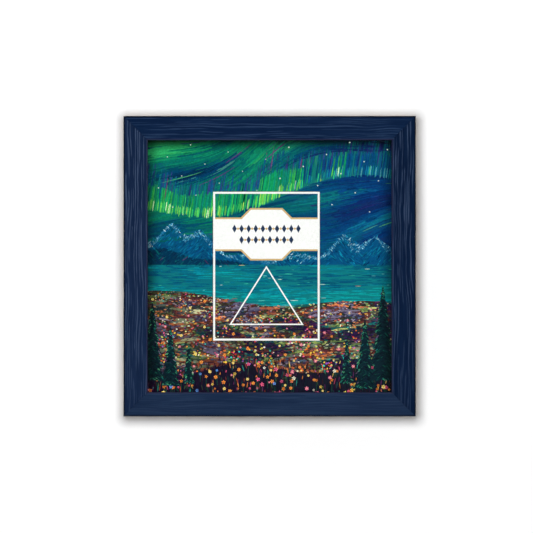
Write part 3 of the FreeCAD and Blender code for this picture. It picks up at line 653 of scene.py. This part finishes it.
class PaintPot:
    # gathers the dabs of one piece of painting, a brushful at a time
    def __init__(self, name, slotName, seed, sides):
        self.name = name
        self.slotName = slotName
        self.rng = random.Random(seed)
        self.sides = sides
        self.painted = {"print": newPaintMesh(), "card": newPaintMesh()}
        self.wet = {"print": newPaintMesh(), "card": newPaintMesh()}

    def dab(self, x, z, length, width, angle, colour, thickness, front=None):
        field, onCard = fieldAt(x, z)
        if field is None:
            return
        owner = "card" if onCard else "print"
        bm = self.wet[owner]
        front = fieldFront if front is None else front
        thickness += self.rng.uniform(0, paintLook["unevenness"])
        verts, layer = stampDisc(bm, x, front, z, self.sides, length, width, thickness, paintLook["crown"], angle)
        for vert in verts:
            vert[layer] = shadeUnderLip(vert.co.x, vert.co.z, colour)
            keepWithin(vert, sheetLow, sheetHigh)
            trimAtWindow(vert, onCard)
        xs, zs = ([vert.co[axis] for vert in verts] for axis in (0, 2))
        if min(max(xs) - min(xs), max(zs) - min(zs)) < paintLook["narrowest"]:
            bmesh.ops.delete(bm, geom=verts, context="VERTS")
        elif len(bm.verts) >= paintLook["wetMost"] * 2 * self.sides:
            self.dry(owner)

    def dry(self, owner):
        # moves the wet dabs over, because a small mesh is quicker to work on
        patch = bpy.data.meshes.new("patch")
        self.wet[owner].to_mesh(patch)
        self.painted[owner].from_mesh(patch)
        bpy.data.meshes.remove(patch)
        self.wet[owner].free()
        self.wet[owner] = newPaintMesh()

    def stroke(self, x, z, length, width, flow, colour, thickness, bits=5):
        # a long stroke bends with the flow, in a row of dabs
        step = length / bits
        for bit in range(bits):
            angle = flow(x, z)
            taper = math.sin(math.pi * (bit + 0.7) / (bits + 0.4))
            self.dab(x, z, step * 1.7, width * (0.35 + 0.65 * taper), angle, colour, thickness)
            x += step * math.cos(angle)
            z += step * math.sin(angle)

    def flower(self, x, z, radius, start, petals, heart, look, front=None):
        # petals round a heart, their colours in turn
        for i in range(look["petals"]):
            way = start + i * 2 * math.pi / look["petals"]
            px, pz = x + look["spread"] * radius * math.cos(way), z + look["spread"] * radius * math.sin(way)
            length, width = (radius * share for share in look["petalSize"])
            self.dab(px, pz, length, width, way, petals[i % len(petals)], look["petalThickness"], front)
        self.dab(x, z, radius * 0.7, radius * 0.7, 0, heart, look["heartThickness"], front)

    def finish(self):
        for owner in self.painted:
            self.dry(owner)
            self.wet[owner].free()
            if self.painted[owner].verts:
                pieceName = self.name + owner.capitalize()
                finishMesh(pieceName, self.painted[owner], [brushPaint], self.slotName, 30)
            else:
                self.painted[owner].free()


def keepWithin(vert, low, high):
    vert.co.x = min(max(vert.co.x, low.x), high.x)
    vert.co.z = min(max(vert.co.z, low.z), high.z)


def trimAtWindow(vert, onCard):
    # a dab ends at the edge of the sheet or card that it is printed on
    if onCard:
        keepWithin(vert, cardLow, cardHigh)
        return
    gap, axis, way = min(
        (vert.co.x - cardLow.x + windowGap, 0, -1), (cardHigh.x + windowGap - vert.co.x, 0, 1),
        (vert.co.z - cardLow.z + windowGap, 2, -1), (cardHigh.z + windowGap - vert.co.z, 2, 1),
    )
    if gap > 0:
        vert.co[axis] += way * gap


def pick(rng, palette):
    # one of a palette's colours, each with its share before it, a little varied
    mark = rng.uniform(0, sum(entry[0] for entry in palette))
    for share, *colour in palette:
        mark -= share
        if mark <= 0:
            break
    lift = rng.uniform(0.85, 1.15)
    return tone(*(min(255, part * lift) for part in colour))


def pickAlong(rng, palette, share, spread=0.08):
    # a colour part of the way through an ordered palette, a little varied
    place = min(0.999, max(0.0, share + rng.gauss(0, spread))) * (len(palette) - 1)
    first, second = palette[int(place)], palette[int(place) + 1]
    lift = rng.uniform(0.92, 1.08)
    return [(a + (b - a) * (place % 1)) * lift for a, b in zip(first, second)]


def shareAcross(x):
    return (x - sheetLow.x) / (sheetHigh.x - sheetLow.x)


def shareUp(z):
    return (z - sheetLow.z) / (sheetHigh.z - sheetLow.z)


def scatterPlaces(rng, count, *wanted):
    # random places all over the sheet, of which those on the wanted fields, or on any, are given on
    for _ in range(count):
        x = rng.uniform(sheetLow.x, sheetHigh.x)
        z = rng.uniform(sheetLow.z, sheetHigh.z)
        field, _ = fieldAt(x, z)
        if field and (field in wanted or not wanted):
            yield x, z, field


def noiseAt(*place):
    return noise.noise(Vector(place))


skyDabs = {
    # count, length, width and thickness of the strokes, wide and thin ones first
    "sweeps": [(960, (0.016, 0.036), (0.0020, 0.0038), 0.00001), (2400, (0.007, 0.026), (0.0004, 0.0011), 0.00003)],
    "bandSize": (0.050, 0.011),  # along and across the strokes
    "rightFrom": (0.42, 0.80),  # shares across between which the right's colours come in
    # from dark to light
    "left": [(2, 42, 72), (2, 60, 100), (2, 80, 96), (6, 110, 94), (16, 140, 96), (44, 168, 100)],
    "right": [(30, 36, 94), (16, 40, 98), (4, 50, 108), (6, 64, 120), (8, 82, 130), (12, 108, 136)],
    "accents": [(2, 44, 60, 124), (2, 84, 46, 106), (1.5, 64, 146, 136), (1, 76, 156, 96)],
    "accentShare": 0.03,
    "lowLift": (-0.7, 0.8),  # towards the ridges the sky is bluer at the left and paler at the right
}
skyLean = math.radians(16)


def skyFlow(x, z):
    # the way that the sky's strokes run
    return skyLean + 0.9 * noiseAt(x * 16, 3.0, z * 16)


def skyColour(look, rng, x, z):
    if rng.random() < look["accentShare"]:
        return pick(rng, look["accents"])
    lean, (long, wide) = skyLean, look["bandSize"]
    along, across = x * math.cos(lean) + z * math.sin(lean), z * math.cos(lean) - x * math.sin(lean)
    share = 0.53 + 0.9 * noiseAt(along / long, 9.0, across / wide)
    lowness = max(0.0, 0.78 - shareUp(z))
    first, last = look["rightFrom"]
    toRight = min(1.0, max(0.0, (shareAcross(x) - first) / (last - first) + rng.gauss(0, 0.08)))
    leftTone, rightTone = (
        pickAlong(rng, look[side], share + lift * lowness) for side, lift in zip(("left", "right"), look["lowLift"])
    )
    return tone(*(a + (b - a) * toRight for a, b in zip(leftTone, rightTone)))


def paintSky(look, rng, pot):
    for count, lengths, widths, thickness in look["sweeps"]:
        for x, z, _ in scatterPlaces(rng, count, "sky", "aurora_glow"):
            length, width = rng.uniform(*lengths), rng.uniform(*widths)
            pot.stroke(x, z, length, width, skyFlow, skyColour(look, rng, x, z), thickness)


def heightsOf(field, x, step):
    # the heights at which a field shows in one column of the sheet
    heights = (sheetLow.z + i * step for i in range(int((sheetHigh.z - sheetLow.z) / step)))
    return [z for z in heights if fieldAt(x, z)[0] == field]


auroraDabs = {
    "columns": 420,
    "thickness": {"crown": 0.000026, "body": 0.000040, "foot": 0.000054},
    "lean": 8,  # degrees from upright
    "coolFrom": 0.50,  # share across from which the cooler colours come in
    "foot": [(4, 96, 200, 84), (3, 48, 188, 104), (1.2, 160, 212, 88), (0.8, 190, 230, 170)],
    "body": [(4, 16, 146, 90), (3, 14, 128, 106), (2, 46, 160, 76), (1, 12, 96, 92)],
    "crown": [(4, 12, 104, 106), (3, 16, 78, 124), (1, 48, 56, 122), (0.12, 110, 54, 116)],
    "coolFoot": [(3, 22, 128, 132), (3, 14, 108, 144), (1, 88, 170, 176), (0.4, 66, 156, 104)],
    "coolBody": [(4, 6, 80, 116), (3, 8, 66, 124), (1.0, 12, 102, 112), (1.4, 22, 48, 106)],
}


def paintAurora(look, rng, pot):
    lean = math.radians(90 - look["lean"])
    for _ in range(look["columns"]):
        x = rng.uniform(sheetLow.x, sheetHigh.x)
        inside = heightsOf("aurora", x, 0.001)
        if not inside:
            continue
        foot, head = inside[0], inside[-1]
        fade = 0.5 + 0.5 * noiseAt(x * 60, 1.5, 0)
        reach = (head - foot) * (0.7 + 0.9 * fade)
        isCool = rng.random() < (shareAcross(x) - look["coolFrom"]) * 3
        feet, bodies = ("coolFoot", "coolBody") if isCool else ("foot", "body")
        crown = rng.uniform(0.6, 1.1) * reach
        rise = foot + reach * rng.uniform(0.75, 1.15)
        width, thickness = rng.uniform(0.0005, 0.0010), look["thickness"]
        pot.dab(x + crown * 0.1, rise, crown, width, lean, pick(rng, look["crown"]), thickness["crown"])
        pot.dab(x, foot + reach * 0.45, reach * 0.9, 0.0009, lean, pick(rng, look[bodies]), thickness["body"])
        if rng.random() < 0.3 + 0.6 * fade:
            foot += rng.uniform(-0.001, 0.001)
            pot.dab(x, foot + reach * 0.16, reach * 0.4, 0.0007, lean, pick(rng, look[feet]), thickness["foot"])


ridgeDabs = {
    "count": 13000,
    "length": (0.0015, 0.005),
    "width": (0.0003, 0.0008),
    "thickness": 0.00005,
    "snowDabs": 860,
    "snowThickness": 0.00007,
    "snowReach": 0.0064,  # below the far ridge's crest
    "snow": [(1.2, 138, 194, 210), (3, 76, 148, 180), (3, 40, 116, 158), (0.3, 196, 222, 226)],
    "far_ridge": [(4, 6, 92, 134), (3, 4, 74, 120), (1.6, 12, 118, 148), (1, 2, 52, 96)],
    "near_ridge": [(4, 2, 48, 76), (3, 4, 68, 92), (1, 8, 96, 98), (1, 12, 26, 58), (0.12, 70, 50, 92)],
}


def paintRidges(look, rng, pot):
    for x, z, field in scatterPlaces(rng, look["count"], "far_ridge", "near_ridge"):
        way = 1 if noiseAt(x * 55, 4.0, z * 12) > 0 else -1
        angle = way * math.radians(rng.uniform(32, 58))
        size, width = rng.uniform(*look["length"]), rng.uniform(*look["width"])
        pot.dab(x, z, size, width, angle, pick(rng, look[field]), look["thickness"])
    for _ in range(look["snowDabs"]):
        x = rng.uniform(sheetLow.x, sheetHigh.x)
        inside = heightsOf("far_ridge", x, 0.0005)
        if inside:
            reach = look["snowReach"] * (0.5 + 1.3 * noiseAt(x * 90, 2.0, 0))
            drop = rng.uniform(0.0003, max(0.0005, reach))
            angle = math.copysign(math.radians(rng.uniform(32, 62)), noiseAt(x * 110, 6.0, 0))
            size, width = rng.uniform(0.0008, 0.0024), rng.uniform(0.0003, 0.0006)
            pot.dab(x, inside[-1] - drop, size, width, angle, pick(rng, look["snow"]), look["snowThickness"])


lakeDabs = {
    "count": 5200,
    "length": (0.003, 0.014),
    "width": (0.0003, 0.0008),
    # from the far shore to the near one
    "water": [(4, 82, 114), (6, 110, 132), (8, 144, 156), (14, 160, 158), (10, 132, 130), (14, 130, 102)],
    "thickness": 0.000025,
    "glintShare": 0.07,
    "glintThickness": 0.00004,
    "glints": [(3, 96, 200, 190), (2, 60, 186, 150), (0.7, 204, 234, 214), (0.5, 236, 184, 118)],
    "heights": (0.27, 0.48),  # shares up of the near and the far shore
}


def paintLake(look, rng, pot):
    for x, z, _ in scatterPlaces(rng, look["count"], "lake"):
        isGlint = rng.random() < look["glintShare"]
        near, far = look["heights"]
        nearness = (far - shareUp(z)) / (far - near) + 0.7 * noiseAt(x * 20, 27.0, z * 120)
        colour = pick(rng, look["glints"]) if isGlint else tone(*pickAlong(rng, look["water"], nearness, 0.10))
        size, width = rng.uniform(*look["length"]), rng.uniform(*look["width"])
        if isGlint:
            size, width = size * 0.4, width * 0.55
        thickness = look["glintThickness" if isGlint else "thickness"]
        pot.dab(x, z, size, width, rng.uniform(-0.03, 0.03), colour, thickness)


meadowDabs = {
    "swathes": 900,  # long strokes of ground
    "tufts": 13000,
    "flowerDots": 9000,
    "thickness": (0.00001, 0.00003, 0.00006),  # of swathes, tufts and flower dots
    "farFrom": 0.42,  # share up from which the meadow is far
    "near": (0.0020, 0.0012),  # a tuft's length and width at the foot of the sheet
    "far": (0.0011, 0.0005),
    "patchSize": (0.030, 0.011),
    "nearShade": 0.42,
    "rightSun": 1.5,
    "patches": [
        # each kind of ground, from the shaded to the sunlit
        [(4, 24, 12, 44), (3, 40, 20, 58), (2, 14, 22, 48), (1, 78, 30, 66), (0.5, 20, 60, 74)],
        [(3, 12, 56, 66), (2, 18, 88, 86), (2, 14, 28, 44), (1, 74, 128, 110), (1, 52, 40, 66)],
        [(3, 82, 104, 56), (2, 122, 138, 74), (2, 34, 66, 54), (1, 168, 168, 100), (1, 84, 88, 66)],
        [(3, 108, 116, 90), (2, 86, 98, 92), (2, 46, 50, 62), (1, 172, 170, 130), (1, 112, 128, 112)],
        [(3, 136, 74, 50), (2, 172, 96, 58), (2, 72, 36, 44), (1, 206, 134, 86), (1, 110, 54, 60)],
        [(3, 76, 72, 96), (2, 100, 92, 112), (2, 44, 40, 68), (1, 150, 132, 142), (1, 66, 90, 112)],
    ],
    "nearFlowers": [
        (3, 240, 116, 44), (3, 248, 200, 72), (1.6, 214, 52, 48), (2, 222, 88, 134), (2, 252, 240, 204),
        (1.4, 40, 190, 184), (1.2, 160, 90, 196), (1, 200, 210, 80),
    ],
    "farFlowers": [
        (3, 214, 210, 132), (2, 236, 230, 184), (2, 150, 190, 140), (1.2, 226, 150, 84), (1.2, 120, 190, 176),
        (1, 206, 128, 150), (2.2, 146, 142, 186),
    ],
}


def meadowGround(look, rng, x, z):
    # the kind of ground at a place, in broad patches
    wide, tall = look["patchSize"]
    patch = noiseAt(x / wide, 11.0, z / tall) + 0.35 * noiseAt(x / 0.009, 5.0, z / 0.005)
    patch += rng.uniform(-0.06, 0.06) + 0.75 * (0.5 - shareAcross(x)) - 0.1 * (0.25 - shareUp(z))
    kinds = look["patches"]
    return kinds[min(len(kinds) - 1, max(0, int((patch * 1.15 + 0.5) * len(kinds))))]


def farnessOf(look, z):
    return min(1.0, shareUp(z) / look["farFrom"])


def sunOnMeadow(look, x, z, colour):
    # the near ground lies in shade, and the far right in the light
    kept = look["nearShade"] + (1 + look["rightSun"] * shareAcross(x) - look["nearShade"]) * farnessOf(look, z)
    return tuple(min(1.0, part * kept) for part in colour[:3]) + (1.0,)


def meadowFlow(x, z):
    return 0.5 * noiseAt(x * 30, 21.0, z * 60)


def paintMeadow(look, rng, pot):
    swathe, tuft, dot = look["thickness"]
    for x, z, _ in scatterPlaces(rng, look["swathes"], "meadow"):
        colour = sunOnMeadow(look, x, z, pick(rng, meadowGround(look, rng, x, z)[:4]))
        length, width = rng.uniform(0.004, 0.012), rng.uniform(0.0010, 0.0022)
        pot.stroke(x, z, length, width, meadowFlow, colour, swathe, 3)
    for x, z, _ in scatterPlaces(rng, look["tufts"], "meadow"):
        nearness = 1 - farnessOf(look, z)
        length, width = (f + (n - f) * nearness for n, f in zip(look["near"], look["far"]))
        size = rng.uniform(0.7, 1.7)
        angle = meadowFlow(x, z) + rng.uniform(-0.25, 0.25)
        colour = sunOnMeadow(look, x, z, pick(rng, meadowGround(look, rng, x, z)))
        pot.dab(x, z, length * size, width * size * 0.8, angle, colour, tuft)
    for x, z, _ in scatterPlaces(rng, look["flowerDots"], "meadow"):
        if rng.random() > 0.24 + 2.1 * noiseAt(x * 75, 7.0, z * 150):
            continue
        nearness = 1 - farnessOf(look, z)
        size = (0.00052 + 0.0006 * nearness) * rng.uniform(0.65, 1.4)
        isNear = rng.random() < 0.25 + 1.6 * nearness
        colour = pick(rng, look["nearFlowers" if isNear else "farFlowers"])
        pot.dab(x, z, size * rng.uniform(1.0, 1.5), size, rng.uniform(-0.8, 0.8), colour, dot)


bankDabs = {
    "blades": 9000,
    "shadeThickness": 0.00003,
    "lightThickness": 0.00005,
    "fringeReach": 0.0045,  # the grass stands this far over the meadow's edge
    "length": (0.0020, 0.0070),
    "shade": [(4, 16, 10, 30), (3, 10, 26, 38), (2, 34, 14, 44), (1, 52, 26, 30)],
    "light": [
        (3, 14, 70, 66), (2, 92, 36, 84), (2, 150, 66, 40), (2, 60, 84, 48), (1, 236, 136, 56),
        (1, 40, 160, 140), (0.8, 240, 200, 96), (0.6, 214, 78, 112),
    ],
    "flowers": 900,  # tries all over the sheet, of which about one in eight falls on the bank
    "stem": (0.004, 0.010),
    "stemThickness": 0.00006,
    "stemTone": tone(30, 86, 62),
    "heart": tone(96, 44, 30),
    "petals": 5,
    "petalRadius": (0.0004, 0.0010),
    "petalSize": (1.3, 0.8),  # length and width in the flower's radius
    "spread": 0.8,  # the petals' middles lie this share of the radius from the heart
    "petalThickness": 0.00007,
    "heartThickness": 0.00008,
    "petalTones": [
        (3, 246, 138, 54), (2, 250, 208, 92), (2, 228, 92, 132), (1.5, 250, 238, 210), (1.5, 92, 148, 222),
    ],
}


def paintBank(look, rng, pot):
    for x, z, field in scatterPlaces(rng, look["blades"], "bank", "meadow"):
        if field == "meadow" and fieldAt(x, z - look["fringeReach"])[0] != "bank":
            continue
        lean = 14 * noiseAt(x * 40, 31.0, z * 20)
        angle = math.radians(90 + lean + rng.uniform(-16, 16))
        isLit = rng.random() < 0.18 + 0.5 * max(0.0, noiseAt(x * 60, 33.0, z * 90))
        light = "light" if isLit else "shade"
        colour = pick(rng, look[light])
        length = rng.uniform(*look["length"]) * (0.7 if isLit else 1)
        pot.dab(x, z, length, rng.uniform(0.0003, 0.0006), angle, colour, look[light + "Thickness"])
    for x, z, _ in scatterPlaces(rng, look["flowers"], "bank"):
        radius = rng.uniform(*look["petalRadius"])
        stem = rng.uniform(*look["stem"])
        angle = math.radians(rng.uniform(84, 96))
        pot.dab(x, z - stem / 2, stem, 0.0003, angle, look["stemTone"], look["stemThickness"])
        petal = pick(rng, look["petalTones"])
        pot.flower(x, z, radius, rng.uniform(0, math.pi), [petal], look["heart"], look)


coniferDabs = {
    "count": 26000,
    "thickness": 0.00003,
    "length": (0.0012, 0.0032),
    # each trunk's share across, and its top's share up
    "trunks": [(0.045, 0.37), (0.115, 0.28), (0.185, 0.21), (0.80, 0.23), (0.87, 0.31), (0.94, 0.43)],
    "shade": [(4, 4, 16, 26), (3, 8, 30, 40), (1, 22, 18, 44)],
    "needles": [(4, 8, 38, 44), (3, 12, 56, 54), (2, 18, 84, 70)],
    "tips": [(3, 44, 128, 96), (2, 78, 156, 110), (1, 24, 104, 104), (0.6, 116, 84, 120)],
}


def nearestTrunk(look, x, z):
    # the trunk that the place hangs from, by its share of the tree's half width there
    best = None
    for across, top in look["trunks"]:
        trunk = sheetLow.x + across * (sheetHigh.x - sheetLow.x)
        reach = max(0.001, (top + 0.03 - shareUp(z)) * 0.026)
        share = (x - trunk) / reach
        if best is None or abs(share) < abs(best):
            best = share
    return best


def paintConifers(look, rng, pot):
    for x, z, _ in scatterPlaces(rng, look["count"]):
        if not isConifer(x, z):
            continue
        share = nearestTrunk(look, x, z)
        droop = math.radians(rng.uniform(22, 40) + 14 * min(1.0, abs(share)))
        angle = -droop if share > 0 else droop
        isTip = not isConifer(x, z - 0.0014) or not isConifer(x + math.copysign(0.0012, share), z)
        if isTip and rng.random() < 0.6:
            colour = pick(rng, look["tips"])
        else:
            colour = pick(rng, look["needles" if rng.random() < 0.45 else "shade"])
        size = rng.uniform(*look["length"]) * (0.7 if isTip else 1)
        pot.dab(x, z, size, rng.uniform(0.0003, 0.0006), angle, colour, look["thickness"], detailFront)


bloomDabs = {
    "petals": 6,
    "petalSize": (1.25, 0.62),
    "spread": 0.72,
    "petalThickness": 0.00002,
    "heartThickness": 0.00005,
    "blooms_orange": ((240, 128, 48), (250, 176, 84), (120, 40, 30)),
    "blooms_yellow": ((246, 206, 84), (254, 236, 160), (176, 96, 40)),
    "blooms_pink": ((222, 92, 134), (246, 160, 176), (250, 214, 110)),
}


def bloomPlaces(nodeName):
    # the middle and radius of each separate bloom of a node
    bm = bmesh.new()
    bm.from_mesh(nodes[nodeName].data)
    bmesh.ops.remove_doubles(bm, verts=bm.verts, dist=1e-6)
    unseen = set(bm.verts)
    while unseen:
        reached = [unseen.pop()]
        for vert in reached:
            for edge in vert.link_edges:
                other = edge.other_vert(vert)
                if other in unseen:
                    unseen.remove(other)
                    reached.append(other)
        xs, zs = [vert.co.x for vert in reached], [vert.co.z for vert in reached]
        yield (min(xs) + max(xs)) / 2, (min(zs) + max(zs)) / 2, (max(xs) - min(xs)) / 2
    bm.free()


def paintBlooms(look, rng, pot):
    for flower in ("blooms_orange", "blooms_yellow", "blooms_pink"):
        *petals, heart = (tone(*colour) for colour in look[flower])
        for owner in ("print", "card"):
            if f"{owner}_{flower}" not in nodes:
                continue
            for x, z, radius in sorted(bloomPlaces(f"{owner}_{flower}")):
                pot.flower(x, z, radius, rng.uniform(0, math.pi), petals, heart, look, detailFront)


paintings = [
    # who paints it, its values, its name, the ink under it, its seed, and the sides of a dab
    (paintSky, skyDabs, "skyDabs", "ink_sky", 5, 8),
    (paintAurora, auroraDabs, "auroraDabs", "ink_aurora", 8, 8),
    (paintRidges, ridgeDabs, "ridgeDabs", "ink_far_ridge", 13, 6),
    (paintLake, lakeDabs, "lakeDabs", "ink_lake", 17, 8),
    (paintMeadow, meadowDabs, "meadowDabs", "ink_meadow", 19, 6),
    (paintBank, bankDabs, "bankDabs", "ink_bank", 29, 6),
    (paintConifers, coniferDabs, "coniferDabs", "ink_conifers", 31, 6),
    (paintBlooms, bloomDabs, "bloomDabs", "ink_blooms_orange", 43, 6),
]
for paint, look, name, ink, seed, sides in paintings:
    pot = PaintPot(name, ink, seed + 100, sides)
    paint(look, random.Random(seed), pot)
    pot.finish()
print("stage: landscape painted")


# The label's plain ornament: two rows of lozenges with dots between

labelLook = {
    "rowRise": 0.0033,  # each row's height from the label's middle
    "pitch": 0.0042,
    "inRow": (10, 8),
    "lozenge": (0.0027, 0.0048),
    "dot": 0.0014,
    "thickness": 0.00003,
    "crown": 0.94,
    "navy": tone(40, 56, 84),
    "tan": tone(214, 176, 122),
}


def makeLabelOrnament(look):
    low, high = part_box("card_label")
    middle = (low + high) / 2
    bm = newPaintMesh()

    def stamp(x, z, sides, width, height, colour):
        verts, layer = stampDisc(bm, x, low.y, z, sides, width, height, look["thickness"], look["crown"])
        for vert in verts:
            vert[layer] = colour

    for rise, count in zip((look["rowRise"], -look["rowRise"]), look["inRow"]):
        for i in range(count):
            x = middle.x + (i - (count - 1) / 2) * look["pitch"]
            stamp(x, middle.z + rise, 4, *look["lozenge"], look["navy"])
            if i < count - 1:
                stamp(x + look["pitch"] / 2, middle.z + rise, 12, look["dot"], look["dot"], look["tan"])
    finishMesh("labelOrnament", bm, [brushPaint], "tan_ink", 30)


makeLabelOrnament(labelLook)
print("stage: label ornamented")


# Metal and rubber


def steelMaterial(name, light, dark, roughness):
    material, tree = startMaterial(name, Metallic=1.0, Roughness=roughness)
    spotted = addRamp(tree, addNoise(tree, 700, 2), [(0.3, dark), (0.65, light)])
    brushed = addNoise(tree, (300, 1800, 1800), 4, 0.6)
    return finishMaterial(material, spotted, brushed, 0.00003, 0.6)


def rubberMaterial():
    material, tree = startMaterial("softRubber", Roughness=0.7, Specular_IOR_Level=0.3)
    grain = addNoise(tree, 1600)
    grey = addRamp(tree, grain, [(0.3, tone(26, 26, 27)), (0.7, tone(44, 44, 45))])
    return finishMaterial(material, grey, grain, 0.00004, 0.6)


zinc = steelMaterial("zincSteel", tone(208, 208, 204), tone(168, 170, 168), 0.34)
blued = steelMaterial("bluedSteel", tone(120, 122, 128), tone(84, 86, 92), 0.42)
fittings = {"spring_tab": blued, "corner_nail": blued, "hanger": zinc, "bumper": rubberMaterial()}
for nodeName in nodes:
    for fitting, material in fittings.items():
        if fitting in nodeName:
            dress(nodeName, material)
print("stage: fittings dressed")


# Wall, floor and light

stageLook = {
    "floorDrop": 0.30,
    "reach": 2.2,
    "wallNearGlow": 0.02,
    "outlineFade": 0.003,
    "wallGlow": ((0.09, 0.23, 0.22), (0.23, 0.90, 0.76)),  # from, to and how much more, for the lamp's fall-off
    "floorGlow": 0.42,
    "world": 0.04,
}
rearLamp = {"rise": 32, "away": 2.2, "size": 0.9, "share": 0.55, "glossy": True}
lampLooks = {
    # turn from the front and rise in degrees, distance, size and the share of full light on what faces it
    "keyLamp": {"turn": 2.1, "rise": 3.2, "away": 0.60, "size": 0.26, "share": 1.08, "glossy": False},
    "leftRearLamp": {"turn": 132, **rearLamp},
    "rightRearLamp": {"turn": -132, **rearLamp},
}


def seenRays(tree, share):
    # the camera's rays, and a share of those that the metal or the glass sends on
    path = addNode(tree, "LightPath").outputs
    rays = path["Is Camera Ray"]
    for name in ("Is Glossy Ray", "Is Transmission Ray"):
        rays = calc(tree, "MAXIMUM", rays, calc(tree, "MULTIPLY", path[name], share))
    return rays


def wallSurround(tree, glow):
    # the wall's glow round the frame, and where it lies outside the frame's own outline
    middle, half = (cadBox[0] + cadBox[1]) / 2, (cadBox[1] - cadBox[0]) / 2
    shift = (-middle.x, -cadBox[1].y, -middle.z)
    place = addNode(tree, "Mapping", {"Vector": objectPlace(tree), "Location": shift}).outputs[0]
    gap = addNode(tree, "VectorMath", {0: place}, operation="LENGTH").outputs["Value"]
    for start, end, more in stageLook["wallGlow"]:
        glow = calc(tree, "ADD", glow, remap(tree, gap, start, end, toMax=more))
    sides = axesOf(tree, place)
    across = calc(tree, "SUBTRACT", calc(tree, "ABSOLUTE", sides["X"]), half.x)
    up = calc(tree, "SUBTRACT", calc(tree, "ABSOLUTE", sides["Z"]), half.z)
    return glow, remap(tree, calc(tree, "MAXIMUM", across, up), -stageLook["outlineFade"], 0.0)


def stageMaterial(name, glow, isWall=False):
    # pale to the camera from its front, and open from behind
    material, tree = startMaterial(name)
    pale = addNode(tree, "BsdfDiffuse", {"Color": (1, 1, 1, 1)})
    outside = 1.0
    if isWall:
        # painted shade: the wall's colour is darkened in the narrow gap behind the frame, and the wall is open there to
        # reflections in the metal
        glow, outside = wallSurround(tree, glow)
        tree.links.new(greyOf(tree, remap(tree, outside, toMin=0.06)), pale.inputs["Color"])
    lift = addNode(tree, "Emission", {"Color": (1, 1, 1, 1), "Strength": glow})
    both = addNode(tree, "AddShader", {0: pale.outputs[0], 1: lift.outputs[0]})
    front = calc(tree, "SUBTRACT", 1.0, addNode(tree, "NewGeometry").outputs["Backfacing"])
    seen = calc(tree, "MULTIPLY", seenRays(tree, outside), front)
    openAir = addNode(tree, "BsdfTransparent")
    linkSurface(tree, addNode(tree, "MixShader", {0: seen, 1: openAir.outputs[0], 2: both.outputs[0]}))
    return material


def addPlane(name, place, turn, size, material):
    mesh = bpy.data.meshes.new(name)
    bm = bmesh.new()
    bmesh.ops.create_grid(bm, x_segments=1, y_segments=1, size=size, matrix=Matrix.Translation(place) @ turn)
    bm.to_mesh(mesh)
    bm.free()
    mesh.materials.append(material)
    plane = addObject(name, mesh)


def addLamp(name, look, aim):
    # a disc lamp, aimed at the frame, with its power worked out from its share
    turn, rise = math.radians(look["turn"]), math.radians(look["rise"])
    way = Vector((-math.sin(turn) * math.cos(rise), -math.cos(turn) * math.cos(rise), math.sin(rise)))
    data = bpy.data.lights.new(name, "AREA")
    data.shape = "DISK"
    data.size = look["size"]
    data.energy = look["share"] * (math.pi * look["away"]) ** 2
    lamp = addObject(name, data)
    lamp.location = aim + way * look["away"]
    lamp.rotation_euler = (-way).to_track_quat("-Z", "Y").to_euler()
    lamp.visible_camera = False
    lamp.visible_glossy = look["glossy"]


def setWorld(strength):
    # even light, white to the eye, and white in reflections on the background's side
    world = bpy.data.worlds.new("studio")
    world.use_nodes = True
    bpy.context.scene.world = world
    tree = world.node_tree
    toBack = axesOf(tree, addNode(tree, "TexCoord").outputs["Generated"])["Y"]
    seen = seenRays(tree, remap(tree, toBack, -0.1, 0.3))
    ground = tree.nodes["Background"]
    ground.inputs["Color"].default_value = (1, 1, 1, 1)
    tree.links.new(remap(tree, seen, toMin=strength), ground.inputs["Strength"])


wallPlace = Vector((0, cadBox[1].y, 0.2))
floorPlace = Vector((0, 0, -stageLook["floorDrop"]))
floorPale = stageMaterial("floorPale", stageLook["floorGlow"])
wallPale = stageMaterial("wallPale", stageLook["wallNearGlow"], True)
addPlane("wall", wallPlace, turnUpright(), stageLook["reach"], wallPale)
addPlane("floor", floorPlace, Matrix.Identity(4), stageLook["reach"], floorPale)
frameMiddle = (cadBox[0] + cadBox[1]) / 2
for lampName, look in lampLooks.items():
    addLamp(lampName, look, frameMiddle)
setWorld(stageLook["world"])
bpy.context.scene.view_settings.view_transform = "Standard"
print("stage: lit")
